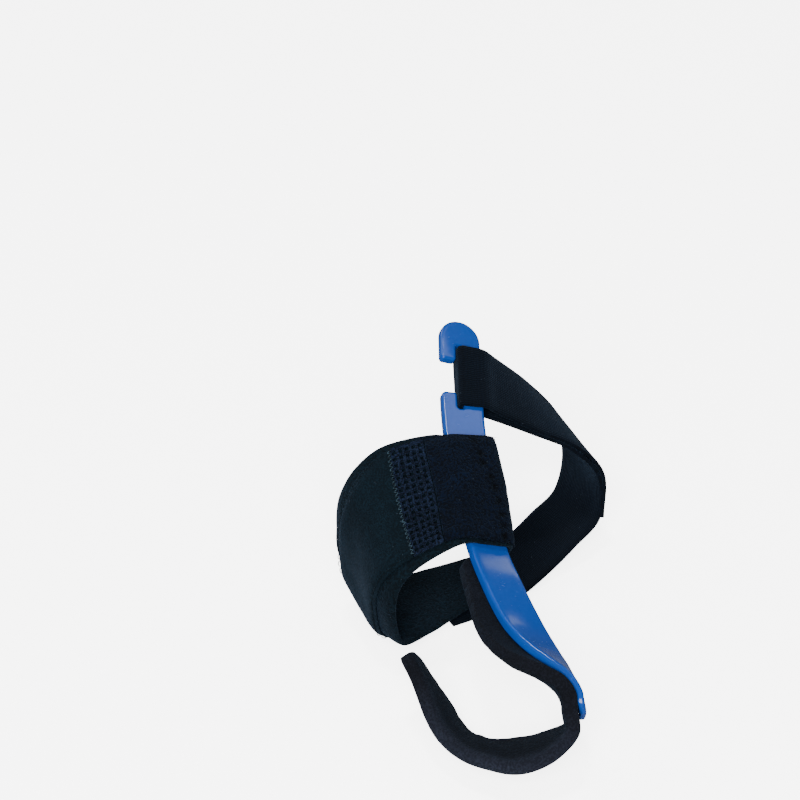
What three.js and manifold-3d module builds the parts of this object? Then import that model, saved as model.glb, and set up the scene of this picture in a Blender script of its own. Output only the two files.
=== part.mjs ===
import * as THREE from 'three';
import { mergeVertices } from 'three/addons/utils/BufferGeometryUtils.js';
import Module from 'manifold-3d';

const wasm = await Module();
wasm.setup();

// A corrective splint for the left side: +X is the outer side, -Y the front and +Z up.
// The origin is the middle of the sling, level with the lowest side of the band's hollow.

// Driving dimensions in millimetres: three reaches that every route and form is a share of
const LENGTH = 120; // from the front of the hollow back to the head of the splint
const BREADTH = 87; // of the band's hollow from side to side
const HEIGHT = 60; // of the hollow at its back

// The splint
const SPLINT_WIDTH = 12.2;
const SPLINT_THICK = 3;
const SPLINT_TIP_THICK = 1.8;
const HOOK_WIDTH = 3.4; // across each of the two hooks at the head
const SLOT_WIDTH = 3; // of the gap that the strap passes
const MOUTH = 10.5; // gap between the two hooks
const HEAD_LENGTH = 8.2; // from the round end to the slot
const SLOT_CLEARANCE = 0.9; // beside each edge of the strap
const EDGE_ROUND = 0.9; // radius along the edges of the plastic

// The foam sling
const FOAM_THICK = 4;
const SLING_WIDTH = 15; // in front, where it is free of the splint
const SLING_OVERHANG = 5.8; // past the inner edge of the splint, at most
const SLING_START = 1; // gap from the band's front edge to the foam
const FOAM_ROUND = 1.3;
const FOAM_CLEAR = 0.5; // between the splint and the foam
const TIP_FREE = 1.5; // of the splint's tip that the foam leaves

// The band, its facing and the strap
const BAND_THICK = 1.5;
const BAND_UNDERLAP = 10; // how far the band runs back under the splint
const FACING_THICK = 1.2;
const FACING_RIM = 6; // band left bare beside the facing on the inner side
const VELOUR_LENGTH = 20;
const MESH_LENGTH = 10;
const MESH_COLUMNS = 5;
const MESH_ROWS = 13;
const MESH_HOLE = 0.95;
const STRAP_WIDTH = 20;
const STRAP_THICK = 1.3;
const GAP = 0.3; // between pieces that touch

// The hollow that the band and the strap go round: a row for each section, as shares of the three reaches
const FORM = [
  { back: 0.430, inner: -0.095, outer: 0.66, ridge: 0.00, top: 0.417, side: 0.183, arch: 0.00 },
  { back: 0.517, inner: -0.120, outer: 0.74, ridge: 0.02, top: 0.500, side: 0.200, arch: 0.00 },
  { back: 0.600, inner: -0.105, outer: 0.79, ridge: 0.045, top: 0.583, side: 0.217, arch: 0.00 },
  { back: 0.710, inner: -0.098, outer: 0.79, ridge: 0.09, top: 0.683, side: 0.233, arch: 0.03 },
  { back: 0.833, inner: -0.060, outer: 0.78, ridge: 0.15, top: 0.817, side: 0.283, arch: 0.10 },
  { back: 1.000, inner: 0.011, outer: 0.76, ridge: 0.22, top: 1.000, side: 0.367, arch: 0.20 },
];
const OUTER_SIDE = 0.217; // height share of the hollow's widest point on the outer side
const OUTER_BLEND = 1.2; // how soon that height is reached on the way out
const POWERS = { outer: 1, innerAcross: 0.9, innerUp: 0.95, belowAcross: 0.5, belowUp: 0.6, arch: 0.8 };

// The splint's route along the middle of its under face. Lean turns it from flat, 0, to upright, 90.
const SPINE = [
  { out: 0.493, back: 0.970, up: 0.903, lean: 25 },
  { out: 0.458, back: 0.920, up: 0.862, lean: 24 },
  { out: 0.323, back: 0.704, up: 0.677, lean: 14 },
  { out: 0.266, back: 0.567, up: 0.550, lean: 19 },
  { out: 0.211, back: 0.451, up: 0.435, lean: 25 },
  { out: 0.184, back: 0.344, up: 0.390, lean: 21 },
  { out: 0.170, back: 0.240, up: 0.338, lean: 21 },
  { out: 0.172, back: 0.190, up: 0.310, lean: 27 },
  { out: 0.183, back: 0.142, up: 0.283, lean: 36 },
  { out: 0.200, back: 0.097, up: 0.260, lean: 47 },
  { out: 0.215, back: 0.055, up: 0.232, lean: 62 },
  { out: 0.214, back: 0.019, up: 0.193, lean: 77 },
  { out: 0.198, back: -0.010, up: 0.153, lean: 89 },
];

// The sling's overhang past the inner edge of the splint, at shares of its run under it
const OVERHANG = [
  { along: 0.00, past: 0.20 },
  { along: 0.25, past: 0.62 },
  { along: 0.50, past: 0.97 },
  { along: 0.75, past: 0.85 },
  { along: 1.00, past: 0.10 },
];

// The outer rim of the sling past the splint's tip. Swing is the way its width points in plan, from the
// outer side towards the back, and dip how far the width falls.
const RIM = [
  { out: 0.163, back: -0.061, up: 0.177, swing: 64, dip: 39, width: 0.85 },
  { out: 0.139, back: -0.073, up: 0.147, swing: 68, dip: 35, width: 0.94 },
  { out: 0.103, back: -0.081, up: 0.120, swing: 73, dip: 30, width: 1.05 },
  { out: 0.055, back: -0.086, up: 0.093, swing: 79, dip: 25, width: 1.10 },
  { out: 0.005, back: -0.084, up: 0.075, swing: 86, dip: 20, width: 1.13 },
  { out: -0.039, back: -0.075, up: 0.062, swing: 91, dip: 17, width: 1.15 },
  { out: -0.079, back: -0.056, up: 0.053, swing: 83, dip: 17, width: 1.15 },
  { out: -0.121, back: -0.021, up: 0.047, swing: 69, dip: 19, width: 1.10 },
  { out: -0.161, back: 0.023, up: 0.040, swing: 55, dip: 23, width: 1.05 },
  { out: -0.186, back: 0.067, up: 0.043, swing: 42, dip: 28, width: 1.00 },
  { out: -0.202, back: 0.116, up: 0.063, swing: 30, dip: 35, width: 1.00 },
  { out: -0.204, back: 0.168, up: 0.100, swing: 18, dip: 43, width: 1.00 },
  { out: -0.196, back: 0.216, up: 0.142, swing: 9, dip: 50, width: 1.00 },
  { out: -0.191, back: 0.254, up: 0.183, swing: 4, dip: 55, width: 1.00 },
  { out: -0.193, back: 0.279, up: 0.217, swing: 1, dip: 58, width: 1.00 },
  { out: -0.196, back: 0.299, up: 0.247, swing: 0, dip: 59, width: 1.00 },
];

// The band's front and back edges along its way from the splint round the inner side.
// Turn is the share of the hollow's girth from its ridge, outwards above 0 and inwards below.
const BAND = [
  { turn: -0.02, front: 0.455, back: 0.727 },
  { turn: -0.06, front: 0.455, back: 0.729 },
  { turn: -0.10, front: 0.453, back: 0.732 },
  { turn: -0.14, front: 0.450, back: 0.733 },
  { turn: -0.19, front: 0.458, back: 0.722 },
  { turn: -0.26, front: 0.485, back: 0.705 },
  { turn: -0.34, front: 0.520, back: 0.690 },
  { turn: -0.42, front: 0.535, back: 0.680 },
];

// The strap's way over the outer side and below, from the splint to the band, and where it laps the band
const STRAP = [
  { turn: 0.230, middle: 0.790, lap: 0 },
  { turn: 0.290, middle: 0.770, lap: 0 },
  { turn: 0.350, middle: 0.740, lap: 0 },
  { turn: 0.410, middle: 0.705, lap: 0 },
  { turn: 0.465, middle: 0.670, lap: 0 },
  { turn: 0.515, middle: 0.645, lap: 0.6 },
  { turn: 0.560, middle: 0.622, lap: 1 },
  { turn: 0.600, middle: 0.606, lap: 1 },
  { turn: 0.650, middle: 0.598, lap: 1 },
  { turn: 0.690, middle: 0.598, lap: 1 },
];
const STRAP_RETURN = 4; // rows of the route that the upper layer covers

// Smooth values from a table, at a place given by its column or by its row number
function reader(rows, columns, places) {
  const values = rows.flatMap((row) => columns.map((column) => row[column]));
  const track = new THREE.CubicInterpolant(places, values, columns.length, new Float64Array(columns.length));
  return (place) => {
    const found = track.evaluate(place);
    return Object.fromEntries(columns.map((column, i) => [column, found[i]]));
  };
}

const FORM_COLUMNS = ['inner', 'outer', 'ridge', 'top', 'side', 'arch'];
const formAt = reader(FORM, FORM_COLUMNS, FORM.map((row) => row.back));
const RING_STEPS = 120;

// One section of the hollow: points from its ridge outwards, down, under and up the inner side
function ring(back) {
  const form = formAt(back);
  const points = [];
  for (let i = 0; i <= RING_STEPS; i++) {
    const angle = (2 * Math.PI * i) / RING_STEPS;
    const across = Math.sin(angle);
    const rise = Math.cos(angle);
    const outwards = across >= 0;
    const half = (outwards ? form.outer - form.ridge : form.ridge - form.inner) * BREADTH;
    const blend = outwards ? Math.min(1, across * OUTER_BLEND) : 0;
    const side = (form.side + (OUTER_SIDE - form.side) * blend) * HEIGHT;
    const top = form.top * HEIGHT;
    const floor = outwards ? 0 : form.arch * HEIGHT * Math.abs(across) ** POWERS.arch;
    const above = rise >= 0;
    const aboveAcross = outwards ? POWERS.outer : POWERS.innerAcross;
    const spread = above ? aboveAcross : POWERS.belowAcross;
    const x = form.ridge * BREADTH + half * Math.sign(across) * Math.abs(across) ** spread;
    const z = above
      ? side + (top - side) * rise ** (outwards ? POWERS.outer : POWERS.innerUp)
      : side - (side - floor) * Math.abs(rise) ** POWERS.belowUp;
    points.push(new THREE.Vector3(x, back * LENGTH, z));
  }
  return points;
}

const rings = new Map();
function ringCurve(back) {
  const key = back.toFixed(5);
  if (!rings.has(key)) {
    const points = ring(back);
    const runs = [0];
    for (let i = 1; i < points.length; i++) runs.push(runs[i - 1] + points[i].distanceTo(points[i - 1]));
    rings.set(key, { points, runs });
  }
  return rings.get(key);
}

// A point on the hollow's skin, turn being the share of the girth from the ridge
function skin(turn, back) {
  const { points, runs } = ringCurve(back);
  const run = (turn - Math.floor(turn)) * runs[runs.length - 1];
  let i = 1;
  while (runs[i] < run) i++;
  return points[i - 1].clone().lerp(points[i], (run - runs[i - 1]) / (runs[i] - runs[i - 1]));
}

const SKIN_STEP = 0.012; // share of the girth or of the length, for reading which way the skin faces
function offSkin(turn, back, lift) {
  const along = skin(turn + SKIN_STEP, back).sub(skin(turn - SKIN_STEP, back));
  const fore = skin(turn, back + SKIN_STEP).sub(skin(turn, back - SKIN_STEP));
  return skin(turn, back).addScaledVector(along.cross(fore).normalize().negate(), -lift);
}

// Where a table row stands in space
const place = (row) => new THREE.Vector3(row.out * BREADTH, row.back * LENGTH, row.up * HEIGHT);

// Axes across and out of a strip that runs along a direction with a lean
function axes(forward, lean) {
  const up = new THREE.Vector3(0, 0, 1);
  const level = up.clone().cross(forward).normalize();
  const upright = forward.clone().cross(level);
  const angle = THREE.MathUtils.degToRad(lean);
  const across = level.clone().multiplyScalar(Math.cos(angle)).addScaledVector(upright, -Math.sin(angle));
  const out = level.multiplyScalar(Math.sin(angle)).addScaledVector(upright, Math.cos(angle));
  return { across, out };
}

const spine = new THREE.CatmullRomCurve3(SPINE.map(place), false, 'centripetal');
spine.arcLengthDivisions = 400;
const SPLINT_LENGTH = spine.getLength();
const leanAt = reader(SPINE, ['lean'], SPINE.map((row, i) => i));

// The splint's frame at a distance from its round end
function splintFrame(run) {
  const share = THREE.MathUtils.clamp(run / SPLINT_LENGTH, 0, 1);
  const forward = spine.getTangentAt(share);
  const { lean } = leanAt(spine.getUtoTmapping(share) * (SPINE.length - 1));
  return { at: spine.getPointAt(share), forward, ...axes(forward, lean) };
}

// A point beside the splint: run along it, side across it, height above its under face
function bySplint(run, side, height) {
  const frame = splintFrame(run);
  return frame.at.addScaledVector(frame.across, side).addScaledVector(frame.out, height);
}

// The distance along the splint at which it stands at a share of the length
function runAtBack(back) {
  let low = 0;
  let high = SPLINT_LENGTH;
  for (let i = 0; i < 40; i++) {
    const middle = (low + high) / 2;
    if (splintFrame(middle).at.y > back * LENGTH) low = middle;
    else high = middle;
  }
  return (low + high) / 2;
}

// A closed mesh from loops of points, with its two ends closed by fans
function loft(loops) {
  const count = loops[0].length;
  const positions = [];
  const index = [];
  for (const loop of loops) for (const point of loop) positions.push(point.x, point.y, point.z);
  for (let i = 0; i + 1 < loops.length; i++) {
    for (let j = 0; j < count; j++) {
      const a = i * count + j;
      const b = i * count + ((j + 1) % count);
      index.push(a, b, a + count, b, b + count, a + count);
    }
  }
  const last = (loops.length - 1) * count;
  for (const [loop, start, flip] of [[loops[0], 0, false], [loops.at(-1), last, true]]) {
    const middle = loop.reduce((sum, point) => sum.add(point), new THREE.Vector3()).divideScalar(count);
    const centre = positions.length / 3;
    positions.push(middle.x, middle.y, middle.z);
    for (let j = 0; j < count; j++) {
      const a = start + j;
      const b = start + ((j + 1) % count);
      index.push(centre, ...(flip ? [a, b] : [b, a]));
    }
  }
  return outwards(positions, index);
}

// A sheet's solid: a grid of points on its near face and the same grid on its far face
function sheetSolid(near, far) {
  const loops = near.map((row, i) => [...row, ...far[i].toReversed()]);
  const positions = [];
  const index = [];
  const count = loops[0].length;
  const half = count / 2;
  for (const loop of loops) for (const point of loop) positions.push(point.x, point.y, point.z);
  for (let i = 0; i + 1 < loops.length; i++) {
    for (let j = 0; j < count; j++) {
      const a = i * count + j;
      const b = i * count + ((j + 1) % count);
      index.push(a, b, a + count, b, b + count, a + count);
    }
  }
  const last = (loops.length - 1) * count;
  for (let j = 0; j + 1 < half; j++) {
    const a = j;
    const b = j + 1;
    const c = count - 1 - j;
    const d = count - 2 - j;
    index.push(b, a, c, b, c, d);
    index.push(last + a, last + b, last + c, last + b, last + d, last + c);
  }
  return outwards(positions, index);
}

// The mesh as a geometry whose faces point out
function outwards(positions, index) {
  let volume = 0;
  const [a, b, c] = [new THREE.Vector3(), new THREE.Vector3(), new THREE.Vector3()];
  for (let i = 0; i < index.length; i += 3) {
    a.fromArray(positions, index[i] * 3);
    b.fromArray(positions, index[i + 1] * 3);
    c.fromArray(positions, index[i + 2] * 3);
    volume += a.dot(b.cross(c));
  }
  const faces = volume > 0 ? index : index.toReversed();
  const geometry = new THREE.BufferGeometry();
  geometry.setAttribute('position', new THREE.Float32BufferAttribute(positions, 3));
  geometry.setIndex(faces);
  return geometry;
}

// Solids for cutting and joining, and back to a geometry
function toSolid(geometry) {
  const bare = mergeVertices(geometry);
  return new wasm.Manifold(new wasm.Mesh({
    numProp: 3,
    vertProperties: new Float32Array(bare.attributes.position.array),
    triVerts: new Uint32Array(bare.index.array),
  }));
}

function toGeometry(solid) {
  const mesh = solid.getMesh();
  const geometry = new THREE.BufferGeometry();
  geometry.setAttribute('position', new THREE.Float32BufferAttribute(mesh.vertProperties, 3));
  geometry.setIndex(Array.from(mesh.triVerts));
  return geometry;
}

// A rounded rectangle as points, sides along the first axis from low to high
function roundedLoop(low, high, bottom, top, radius, arcSteps) {
  const r = Math.min(radius, (high - low) / 2.1, (top - bottom) / 2.1);
  const corners = [
    [high - r, top - r, 0], [low + r, top - r, 1], [low + r, bottom + r, 2], [high - r, bottom + r, 3],
  ];
  const loop = [];
  for (const [x, y, quarter] of corners) {
    for (let i = 0; i <= arcSteps; i++) {
      const angle = (quarter + i / arcSteps) * (Math.PI / 2);
      loop.push([x + r * Math.cos(angle), y + r * Math.sin(angle)]);
    }
  }
  return loop;
}

const steps = (from, to, count) =>
  Array.from({ length: count + 1 }, (unused, i) => from + ((to - from) * i) / count);

// The splint: a strip lofted along the spine with a round head and tip, then cut by the slot
const THIN_FROM = 0.8; // share of the length at which it starts to thin towards its tip
function splintThickness(run) {
  const share = THREE.MathUtils.smoothstep(run / SPLINT_LENGTH, THIN_FROM, 1);
  return SPLINT_THICK + (SPLINT_TIP_THICK - SPLINT_THICK) * share;
}

function roundedHalfWidth(run, radius, half) {
  const inset = Math.max(0, radius - run);
  return half - radius + Math.sqrt(Math.max(radius * radius - inset * inset, 0));
}

const TIP_ROUND = 3.7; // radius of the tip's corners
const SPLINT_STATIONS = 44;
function splintBlank() {
  const half = SPLINT_WIDTH / 2;
  const endCuts = [0.02, 0.08, 0.2, 0.38, 0.62, 0.85]; // shares of each end's radius
  const runs = [
    ...endCuts.map((share) => share * half),
    ...steps(half, SPLINT_LENGTH - TIP_ROUND, SPLINT_STATIONS),
    ...endCuts.toReversed().map((share) => SPLINT_LENGTH - share * TIP_ROUND),
  ];
  return loft(runs.map((run) => {
    const atTip = roundedHalfWidth(SPLINT_LENGTH - run, TIP_ROUND, half);
    const width = Math.min(roundedHalfWidth(run, half, half), atTip);
    const thick = splintThickness(run);
    const loop = roundedLoop(-width, width, 0, thick, EDGE_ROUND, 2);
    return loop.map(([side, height]) => bySplint(run, side, height));
  }));
}

const SLOT_LENGTH = STRAP_WIDTH + 2 * SLOT_CLEARANCE;
const SLOT_MIDDLE = HEAD_LENGTH + SLOT_LENGTH / 2;
const SLOT_INNER = -SPLINT_WIDTH / 2 + HOOK_WIDTH;
const SLOT_OUTER = SLOT_INNER + SLOT_WIDTH;

// A block that follows the splint, taller than it, for cutting
const CUT_STATIONS = 6;
function splintCutter(from, to, inner, outer) {
  const spare = SPLINT_THICK;
  return toSolid(loft(steps(from, to, CUT_STATIONS).map((run) => [
    bySplint(run, inner, -spare), bySplint(run, outer, -spare),
    bySplint(run, outer, SPLINT_THICK + spare), bySplint(run, inner, SPLINT_THICK + spare),
  ])));
}

function splint() {
  const past = SPLINT_THICK;
  const slotEnds = [SLOT_MIDDLE - SLOT_LENGTH / 2, SLOT_MIDDLE + SLOT_LENGTH / 2];
  const slot = splintCutter(...slotEnds, SLOT_INNER, SLOT_OUTER);
  const mouth = splintCutter(
    SLOT_MIDDLE - MOUTH / 2, SLOT_MIDDLE + MOUTH / 2, -SPLINT_WIDTH / 2 - past, (SLOT_INNER + SLOT_OUTER) / 2,
  );
  return toGeometry(toSolid(splintBlank()).subtract(slot).subtract(mouth));
}

// The band: for each line along it, points on its near face from the splint's under side, round the
// splint, over it, down to the hollow and round the inner side to below
const BAND_SLANT = { front: 0.012, back: 0.035 }; // how far its edges lie forward on the splint
const BAND_FRONT_RUN = runAtBack(BAND[0].front - BAND_SLANT.front);
const BAND_BACK_RUN = runAtBack(BAND[0].back - BAND_SLANT.back);
const FOLD_HEIGHT = SPLINT_THICK / 2;
const FOLD_ANGLES = [-90, -45, 0, 45, 90];
const FOLD_BULGE = 0.4; // past the splint's edge
const TOP_SHARES = [0.5, 0, -0.5, -0.95]; // of the splint's half width
const SHOULDER = { out: 3, drop: 1.9 }; // from the splint's inner edge, on the way down

function bandLine(across) {
  const run = THREE.MathUtils.lerp(BAND_FRONT_RUN, BAND_BACK_RUN, across);
  const half = SPLINT_WIDTH / 2;
  const fold = FOLD_HEIGHT + GAP;
  const under = -GAP;
  const over = SPLINT_THICK + GAP;
  const points = [bySplint(run, half - BAND_UNDERLAP, under), bySplint(run, half - BAND_UNDERLAP / 2, under)];
  for (const angle of FOLD_ANGLES) {
    const turn = THREE.MathUtils.degToRad(angle);
    points.push(bySplint(run, half + FOLD_BULGE * Math.cos(turn), FOLD_HEIGHT + fold * Math.sin(turn)));
  }
  for (const share of TOP_SHARES) points.push(bySplint(run, half * share, over));
  points.push(bySplint(run, -half - SHOULDER.out, over - SHOULDER.drop));
  for (const row of BAND) {
    const back = THREE.MathUtils.lerp(row.front, row.back, across);
    points.push(offSkin(row.turn, back, 0));
  }
  return new THREE.CatmullRomCurve3(points, false, 'centripetal');
}

const LINE_DIVISIONS = 500;
const ALONG_STEP = 0.002; // shares, for reading which way a cloth faces
const ACROSS_STEP = 0.02;

// A surface made of lines: a point at a distance along the line, with a lift off the near face
class Cloth {
  constructor(line, side) {
    this.line = line;
    this.side = side;
    this.lines = new Map();
  }

  curve(across) {
    const key = across.toFixed(5);
    if (!this.lines.has(key)) {
      const curve = this.line(across);
      curve.arcLengthDivisions = LINE_DIVISIONS;
      this.lines.set(key, curve);
    }
    return this.lines.get(key);
  }

  length(across) {
    return this.curve(across).getLength();
  }

  // along is a share of the rows of points that make the line, across a share of the width
  near(along, across) {
    return this.curve(across).getPoint(THREE.MathUtils.clamp(along, 0, 1));
  }

  // The share along at a distance from the start, on the middle line
  shareAt(distance) {
    return this.curve(0.5).getUtoTmapping(distance / this.length(0.5));
  }

  // Shares from one to another through every row of points, no step longer than a length
  shares(from, to, longest) {
    const last = this.curve(0.5).points.length - 1;
    const rows = steps(0, 1, last).filter((share) => share > from && share < to);
    const stops = [from, ...rows, to];
    return stops.flatMap((stop, i) => {
      if (i === 0) return [stop];
      const distance = this.near(stop, 0.5).distanceTo(this.near(stops[i - 1], 0.5));
      return steps(stops[i - 1], stop, Math.ceil(distance / longest)).slice(1);
    });
  }

  point(along, across, lift) {
    const forward = this.near(along + ALONG_STEP, across).sub(this.near(along - ALONG_STEP, across));
    const wide = this.near(along, across + ACROSS_STEP).sub(this.near(along, across - ACROSS_STEP));
    return this.near(along, across).addScaledVector(forward.cross(wide).normalize(), this.side * lift);
  }

  // A solid over a range of the cloth. Edges gives the two shares across at a share along.
  solid(alongSteps, edges, acrossSteps, low, high) {
    const grid = (lift) => alongSteps.map((along) => {
      const [first, last] = edges(along);
      return steps(first, last, acrossSteps).map((across) => this.point(along, across, lift));
    });
    return sheetSolid(grid(low), grid(high));
  }
}

const band = new Cloth(bandLine, -1);
const BAND_ACROSS = 5;
const CLOTH_STEP = 3;
const fullWidth = () => [0, 1];

function forefootBand() {
  return band.solid(band.shares(0, 1, CLOTH_STEP), fullWidth, BAND_ACROSS, 0, BAND_THICK);
}

// The share along the band at a length past the fold's crown
const pastFold = (length) => band.shareAt(BAND_UNDERLAP + FOLD_HEIGHT + GAP + length);
const FACING_START = 1.2; // past the fold's crown
const FACING_LOW = BAND_THICK + GAP;

// The bare rim beside the facing grows from nothing at the splint, and is narrower at the back
const RIM_GROWTH = { from: 0.6, to: 3 }; // in velour lengths past the fold
const BACK_RIM = 0.75;
function facingEdges(along) {
  const [from, to] = [RIM_GROWTH.from, RIM_GROWTH.to].map((share) => pastFold(VELOUR_LENGTH * share));
  const grow = THREE.MathUtils.smoothstep(along, from, to);
  const width = LENGTH * (BAND[2].back - BAND[2].front);
  const rim = (GAP + (FACING_RIM - GAP) * grow) / width;
  return [rim, 1 - rim * BACK_RIM];
}

function facing(from, to) {
  const shares = band.shares(from, to, CLOTH_STEP);
  return band.solid(shares, facingEdges, BAND_ACROSS, FACING_LOW, FACING_LOW + FACING_THICK);
}

const MESH_START = FACING_START + VELOUR_LENGTH;
const SMOOTH_START = MESH_START + GAP + MESH_LENGTH;
const SMOOTH_END = 0.95; // share of the band's rows of points

function velourTab() {
  return facing(pastFold(FACING_START), pastFold(MESH_START));
}

const HOLE_SIDES = 4;
const MESH_MARGIN = 0.7; // of the pitch, from the strip's seam to the first column

function meshPanel() {
  const from = pastFold(MESH_START + GAP);
  const to = pastFold(SMOOTH_START);
  let panel = toSolid(facing(from, to));
  const holes = [];
  for (let column = 0; column < MESH_COLUMNS; column++) {
    for (let row = 0; row < MESH_ROWS; row++) {
      const share = (column + MESH_MARGIN) / (MESH_COLUMNS + 2 * MESH_MARGIN - 1);
      const along = THREE.MathUtils.lerp(from, to, share);
      const [first, last] = facingEdges(along);
      const across = THREE.MathUtils.lerp(first, last, (row + 1) / (MESH_ROWS + 1));
      const low = band.point(along, across, FACING_LOW - GAP / 2);
      const high = band.point(along, across, FACING_LOW + FACING_THICK + GAP);
      const axis = high.clone().sub(low).normalize();
      const turn = new THREE.Quaternion().setFromUnitVectors(new THREE.Vector3(0, 1, 0), axis);
      const length = high.distanceTo(low);
      const hole = new THREE.CylinderGeometry(MESH_HOLE / 2, MESH_HOLE / 2, length, HOLE_SIDES);
      hole.applyQuaternion(turn).translate(...low.clone().lerp(high, 0.5).toArray());
      hole.deleteAttribute('normal');
      hole.deleteAttribute('uv');
      holes.push(toSolid(hole));
    }
  }
  for (const hole of holes) panel = panel.subtract(hole);
  return toGeometry(panel);
}

function smoothPanel() {
  return facing(pastFold(SMOOTH_START + GAP), SMOOTH_END);
}

const LAP_CLEAR = 0.75; // between the facing and the strap below it
const BAND_PILE = FACING_LOW + FACING_THICK + LAP_CLEAR;
const SHED = { out: 4.5, drop: 2.4 }; // from the neck's outer edge, on the upper layer's way down
const SLOT_EASE = 0.8; // straight run before the turn into the slot
const SLOT_TURN = 0.15; // size of the turn's corner

// The strap: over itself from its free end, over the neck, down through the slot, under the neck and away
function strapLine(across) {
  const offset = (across - 0.5) * STRAP_WIDTH;
  const run = SLOT_MIDDLE - offset;
  const half = SPLINT_WIDTH / 2;
  const neck = (SLOT_OUTER + half) / 2;
  const over = SPLINT_THICK + GAP;
  const under = -GAP;
  const slotSide = SLOT_OUTER - GAP;
  const backAt = (row) => row.middle + offset / LENGTH;
  const points = [];
  for (const row of STRAP.slice(0, STRAP_RETURN).toReversed()) {
    points.push(offSkin(row.turn, backAt(row), STRAP_THICK + GAP));
  }
  points.push(bySplint(run, half + SHED.out, over - SHED.drop));
  for (const side of [half, neck, slotSide + SLOT_EASE]) points.push(bySplint(run, side, over));
  points.push(bySplint(run, slotSide + SLOT_TURN, over), bySplint(run, slotSide, over - SLOT_TURN));
  points.push(bySplint(run, slotSide, SPLINT_THICK / 2));
  points.push(bySplint(run, slotSide, under + SLOT_TURN), bySplint(run, slotSide + SLOT_TURN, under));
  points.push(bySplint(run, slotSide + SLOT_EASE, under));
  points.push(bySplint(run, neck, under), bySplint(run, half, under));
  for (const row of STRAP) points.push(offSkin(row.turn, backAt(row), STRAP_THICK + row.lap * BAND_PILE));
  return new THREE.CatmullRomCurve3(points, false, 'centripetal');
}

const strap = new Cloth(strapLine, -1);
const STRAP_ACROSS = 4;

function instepStrap() {
  return strap.solid(strap.shares(0, 1, CLOTH_STEP), fullWidth, STRAP_ACROSS, 0, STRAP_THICK);
}

// The sling: stations under the splint, then the free rim. Each gives its two edges on the outer face.
const overhangAt = reader(OVERHANG, ['past'], OVERHANG.map((row) => row.along));

const UNDER_STATIONS = 14;

function slingStations() {
  const stations = [];
  const start = BAND_FRONT_RUN + SLING_START;
  const half = SPLINT_WIDTH / 2;
  for (const share of steps(0, 1, UNDER_STATIONS)) {
    const run = THREE.MathUtils.lerp(start, SPLINT_LENGTH - TIP_FREE, share);
    const overhang = SLING_OVERHANG * overhangAt(share).past;
    const low = bySplint(run, half - FOAM_CLEAR, -FOAM_CLEAR);
    stations.push({ rim: bySplint(run, -half - overhang, -FOAM_CLEAR), low });
  }
  for (const row of RIM) {
    const rim = place(row);
    const [swing, dip] = [THREE.MathUtils.degToRad(row.swing), THREE.MathUtils.degToRad(row.dip)];
    const [level, fall] = [Math.cos(dip), -Math.sin(dip)];
    const across = new THREE.Vector3(Math.cos(swing) * level, Math.sin(swing) * level, fall);
    stations.push({ rim, low: rim.clone().addScaledVector(across, row.width * SLING_WIDTH) });
  }
  return stations;
}

const SLING_END = 5; // radius of its two ends' corners
const SLING_STATIONS = 72;

function toeSling() {
  const stations = slingStations();
  const rim = new THREE.CatmullRomCurve3(stations.map((station) => station.rim), false, 'centripetal');
  const low = new THREE.CatmullRomCurve3(stations.map((station) => station.low), false, 'centripetal');
  const slingLength = rim.getLength();
  return loft(steps(0, 1, SLING_STATIONS).map((share) => {
    const top = rim.getPoint(share);
    const bottom = low.getPoint(share);
    const forward = rim.getTangent(share).add(low.getTangent(share)).normalize();
    const across = bottom.clone().sub(top);
    const width = across.length();
    across.normalize();
    const inside = across.clone().cross(forward).normalize();
    const short = Math.max(0, SLING_END - Math.min(share, 1 - share) * slingLength);
    const inset = SLING_END - Math.sqrt(SLING_END ** 2 - short ** 2);
    return roundedLoop(inset, width - inset, 0, FOAM_THICK, FOAM_ROUND, 2).map(
      ([side, depth]) => top.clone().addScaledVector(across, side).addScaledVector(inside, depth),
    );
  }));
}

// Colours and finishes
const plastic = new THREE.MeshStandardMaterial({ color: 0x0a56a8, roughness: 0.25, metalness: 0 });
const foamCloth = new THREE.MeshStandardMaterial({ color: 0x10141b, roughness: 0.85, metalness: 0 });
const bandCloth = new THREE.MeshStandardMaterial({ color: 0x0a0f16, roughness: 0.9, metalness: 0 });
const felt = new THREE.MeshStandardMaterial({ color: 0x0b1c24, roughness: 0.95, metalness: 0 });
const netting = new THREE.MeshStandardMaterial({ color: 0x0c131c, roughness: 0.9, metalness: 0 });
const velour = new THREE.MeshStandardMaterial({ color: 0x070c14, roughness: 0.95, metalness: 0 });
const webbing = new THREE.MeshStandardMaterial({ color: 0x0a121b, roughness: 0.9, metalness: 0 });

const corrector = new THREE.Group();
for (const [name, geometry, material] of [
  ['splint', splint(), plastic],
  ['toe_sling', toeSling(), foamCloth],
  ['forefoot_band', forefootBand(), bandCloth],
  ['smooth_panel', smoothPanel(), felt],
  ['mesh_panel', meshPanel(), netting],
  ['velour_tab', velourTab(), velour],
  ['instep_strap', instepStrap(), webbing],
]) {
  const mesh = new THREE.Mesh(geometry, material);
  mesh.name = name;
  corrector.add(mesh);
}

export default corrector;
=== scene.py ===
"""The looks of a bunion corrector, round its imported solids, laid out as a Blender add-on."""

import math

import bpy
import numpy as np
from mathutils import Matrix, Vector, noise


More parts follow.
